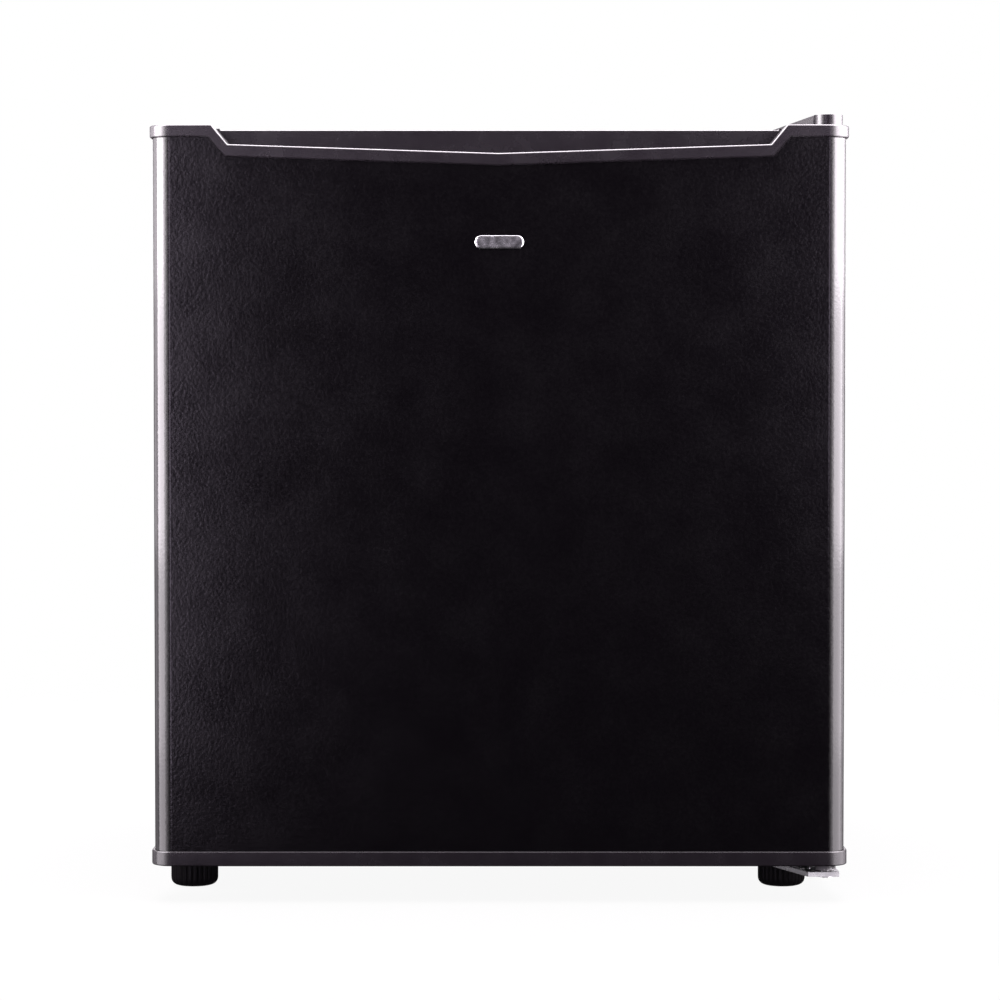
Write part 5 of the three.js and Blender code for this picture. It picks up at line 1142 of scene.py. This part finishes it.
for wall_x in (x1 - 0.8, x0 + 0.8):
    lane_tube = tube(bent([(wall_x, y, z) for _, y, z in side_lanes], 9, 6), CHANNEL, 12)
    for v in lane_tube.verts:
        v.co.x = (wall_x + (v.co.x / MM - wall_x) * FLATTENED) * MM
    channel_parts.append(lane_tube)
piece(
    "freezer_box", joined(*channel_parts), cold_aluminium, "cabinet", "evaporator",
    slot="evaporator_aluminium",
)
surround = softened("freezer_frame", 0.8 * MM)
piece("freezer_surround", surround, satin_white, "cabinet", "freezer_frame", slot="white_plastic")
rails = softened("tray_rails", 0.5 * MM)
piece("drip_tray_rails", rails, satin_white, "cabinet", "tray_rails", slot="white_plastic")

clear_moulding = surface(
    "clear_polystyrene", (0.86, 0.92, 0.94), 0.12, mottle=0.01, gloss_spread=0.05,
    grain_size=0.004, grain_depth=0.00001, Transmission_Weight=0.82, IOR=1.46,
)
flap = softened("freezer_flap", 0.7 * MM)
flap_low, flap_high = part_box("freezer_flap")
RIB_FRONT = -0.0681
RIB_BACK = -0.0674
rib_low, rib_high = flap_low.z + 18 * MM, flap_high.z - 14 * MM
for i in range(13):
    x = flap_low.x + 0.016 + (flap_high.x - flap_low.x - 0.032) * i / 12
    rib = boxed(x - 0.6 * MM, x + 0.6 * MM, RIB_FRONT, RIB_BACK, rib_low, rib_high, 0.3 * MM)
    flap = joined(flap, rib)
piece(
    "freezer_flap_panel", flap, clear_moulding, "freezer_flap", "freezer_flap",
    slot="clear_plastic",
)

tray = softened("drip_tray", 0.6 * MM)
piece("drip_tray_moulding", tray, clear_moulding, "drip_tray", "drip_tray", slot="clear_plastic")


# ------------------------------------------------------------------ thermostat
# A switch in a white housing under the ceiling. Its fluted knob has a raised pointer that
# turns over a scale of moulded marks, and a gas-filled tube senses the freezer box.
HOUSING_TOP = 0.4555  # its edges against the ceiling stay sharp
housing_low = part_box("thermostat_housing")[0]
housing = softened("thermostat_housing", 1.2 * MM, 3, lambda p: p.z < HOUSING_TOP)
knob_low, knob_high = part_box("thermostat_knob")
knob_x = (knob_low.x + knob_high.x) / 2
knob_z = (knob_low.z + knob_high.z) / 2
MARKS = 8
SWEEP = 285
SCALE_RADIUS = 19.2 * MM
wide = 0.35 * MM
for i in range(MARKS):
    angle = math.radians(90 + SWEEP / 2 - SWEEP * i / (MARKS - 1))
    end = SCALE_RADIUS + (2.0 + 0.45 * i) * MM
    mark = boxed(SCALE_RADIUS, end, -wide, wide, -0.5 * MM, 0.35 * MM, 0.15 * MM, 1)
    for v in mark.verts:
        a, b, c = v.co
        x = knob_x + a * math.cos(angle) - b * math.sin(angle)
        z = knob_z + a * math.sin(angle) + b * math.cos(angle)
        v.co = Vector((x, housing_low.y - c, z))
    bmesh.ops.recalc_face_normals(mark, faces=mark.faces)
    housing = joined(housing, mark)
piece(
    "thermostat_case", housing, satin_white, "cabinet", "thermostat_housing",
    slot="white_plastic",
)
switch = softened("thermostat_switch", 0.5 * MM)
piece("thermostat_switch_can", switch, plated_steel, "cabinet", "thermostat_switch", slot="zinc_steel")
sensor_path = [
    (122, -1.4, 425), (122, 12.6, 425), (122, 20.6, 436), (122, 52, 436), (58, 58, 420), (58, 140, 420),
]
sensor = tube(bent(sensor_path, 6), 1.2, 12)
piece("sensor_line", sensor, copper, "cabinet", "sensor_tube", slot="copper")

FLUTES = 30
FLUTE_WAVE = 0.28  # how far a flute swings to either side
knob_rings = []
knob_back = -0.0423
for r, out, fluted in (
    (17.0, 0.0, 0), (17.0, 2.9, 0), (16.7, 3.6, 0), (15.8, 4.0, 0), (13.4, 4.0, 0), (13.1, 4.4, 0.4),
    (13.0, 5.4, 1), (12.7, 13.4, 1), (12.3, 14.5, 0.7), (11.4, 15.0, 0), (8.0, 14.6, 0), (0.0, 14.4, 0),
):
    ring = []
    for k in range(FLUTES * 6):
        angle = 2 * math.pi * k / (FLUTES * 6)
        wave = FLUTE_WAVE * fluted * math.cos(FLUTES * angle)
        reach = (r - FLUTE_WAVE * fluted + wave) * MM
        x, z = knob_x + reach * math.cos(angle), knob_z + reach * math.sin(angle)
        ring.append((x, knob_back - out * MM, z))
    knob_rings.append(ring)
knob = lofted(knob_rings, cap_first=True)
pointer = boxed(
    knob_x - 1.6 * MM, knob_x + 1.6 * MM, knob_low.y, knob_back - 3.8 * MM,
    knob_z - 3 * MM, knob_z + 15.6 * MM, 0.7 * MM, 3,
)
spindle = turned([(3.0, -1.0), (3.0, 8.6), (2.6, 9.0)], 24, (knob_x, knob_back, knob_z), "y")
piece(
    "thermostat_dial", joined(knob, pointer, spindle), satin_white,
    "thermostat_knob", "thermostat_knob", slot="white_plastic",
)


# ------------------------------------------------------------------ shelves
# Two panes of toughened glass with ground edges. Each one's front edge is gripped by a white
# moulded trim, and both lie on the lining's ribs.
glass = surface(
    "toughened_glass", (0.82, 0.95, 0.90), 0.03, mottle=0.01, gloss_spread=0.02, grain_size=0.05,
    grain_depth=0.00001, Transmission_Weight=0.95, IOR=1.5,
)
for number in (1, 2):
    shelf = f"shelf_{number}"
    pane = softened(shelf + "_glass", 1.0 * MM, 3)
    piece(f"glass_{shelf}", pane, glass, shelf, shelf + "_glass", slot="shelf_glass")
    trim = softened(shelf + "_trim", 0.4 * MM, sharper_than=40)
    name = f"shelf_edge_trim_{number}"
    piece(name, trim, satin_white, shelf, shelf + "_trim", slot="white_plastic")


# ------------------------------------------------------------------ door bins
# Clear moulded bins with rounded corners and a thickened rim. A hook on each side rests on
# the door lining's lugs, so a bin lifts off.
for node in ("bottle_bin", "small_bin"):
    low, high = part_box(node)
    x0, x1 = low.x / MM + BIN_HOOK, high.x / MM - BIN_HOOK
    y0, y1 = low.y / MM, high.y / MM
    height = (high.z - low.z) / MM
    rows = [
        # in from the outside, height, corner radius
        (3.0, 0.0, 9), (1.2, 0.5, 10), (0.3, 1.6, 11), (0.0, 3.5, 11), (0.0, height - 5, 11),
        (0.0, height - 1.0, 11), (0.6, height - 0.1, 11), (1.4, height, 10.5), (2.2, height - 0.2, 10),
        (2.6, height - 1.0, 9.5), (2.6, height - 4.0, 9.5), (2.4, height - 6.0, 9.5), (2.4, 6.0, 9.5),
        (2.8, 4.2, 9), (4.0, 2.9, 8), (6.5, 2.4, 7),
    ]
    rings = []
    for inset, z, r in rows:
        ring = rounded_ring(x0 + inset, x1 - inset, y0 + inset, y1 - inset, r)
        rings.append([(x * MM, y * MM, low.z + z * MM) for x, y in ring])
    shell = lofted(rings, cap_first=True, cap_last=True)
    front, back = y0 * MM + 8 * MM, y0 * MM + 16.5 * MM
    bottom, top = low.z + 30 * MM, low.z + 36 * MM
    for a, b in ((low.x / MM, x0 + 1.2), (x1 - 1.2, high.x / MM)):
        shell = joined(shell, boxed(a * MM, b * MM, front, back, bottom, top, 1.0 * MM, 3))
    left, right = (x0 + 16) * MM, (x1 - 16) * MM
    front, back = (y1 - 0.6) * MM, (y1 - 0.02) * MM
    for i in range(3):
        z = low.z + (14 + 7 * i) * MM
        shell = joined(shell, boxed(left, right, front, back, z, z + 1.6 * MM, 0.25 * MM))
    piece(f"door_{node}", shell, clear_moulding, node, node, slot="clear_plastic")
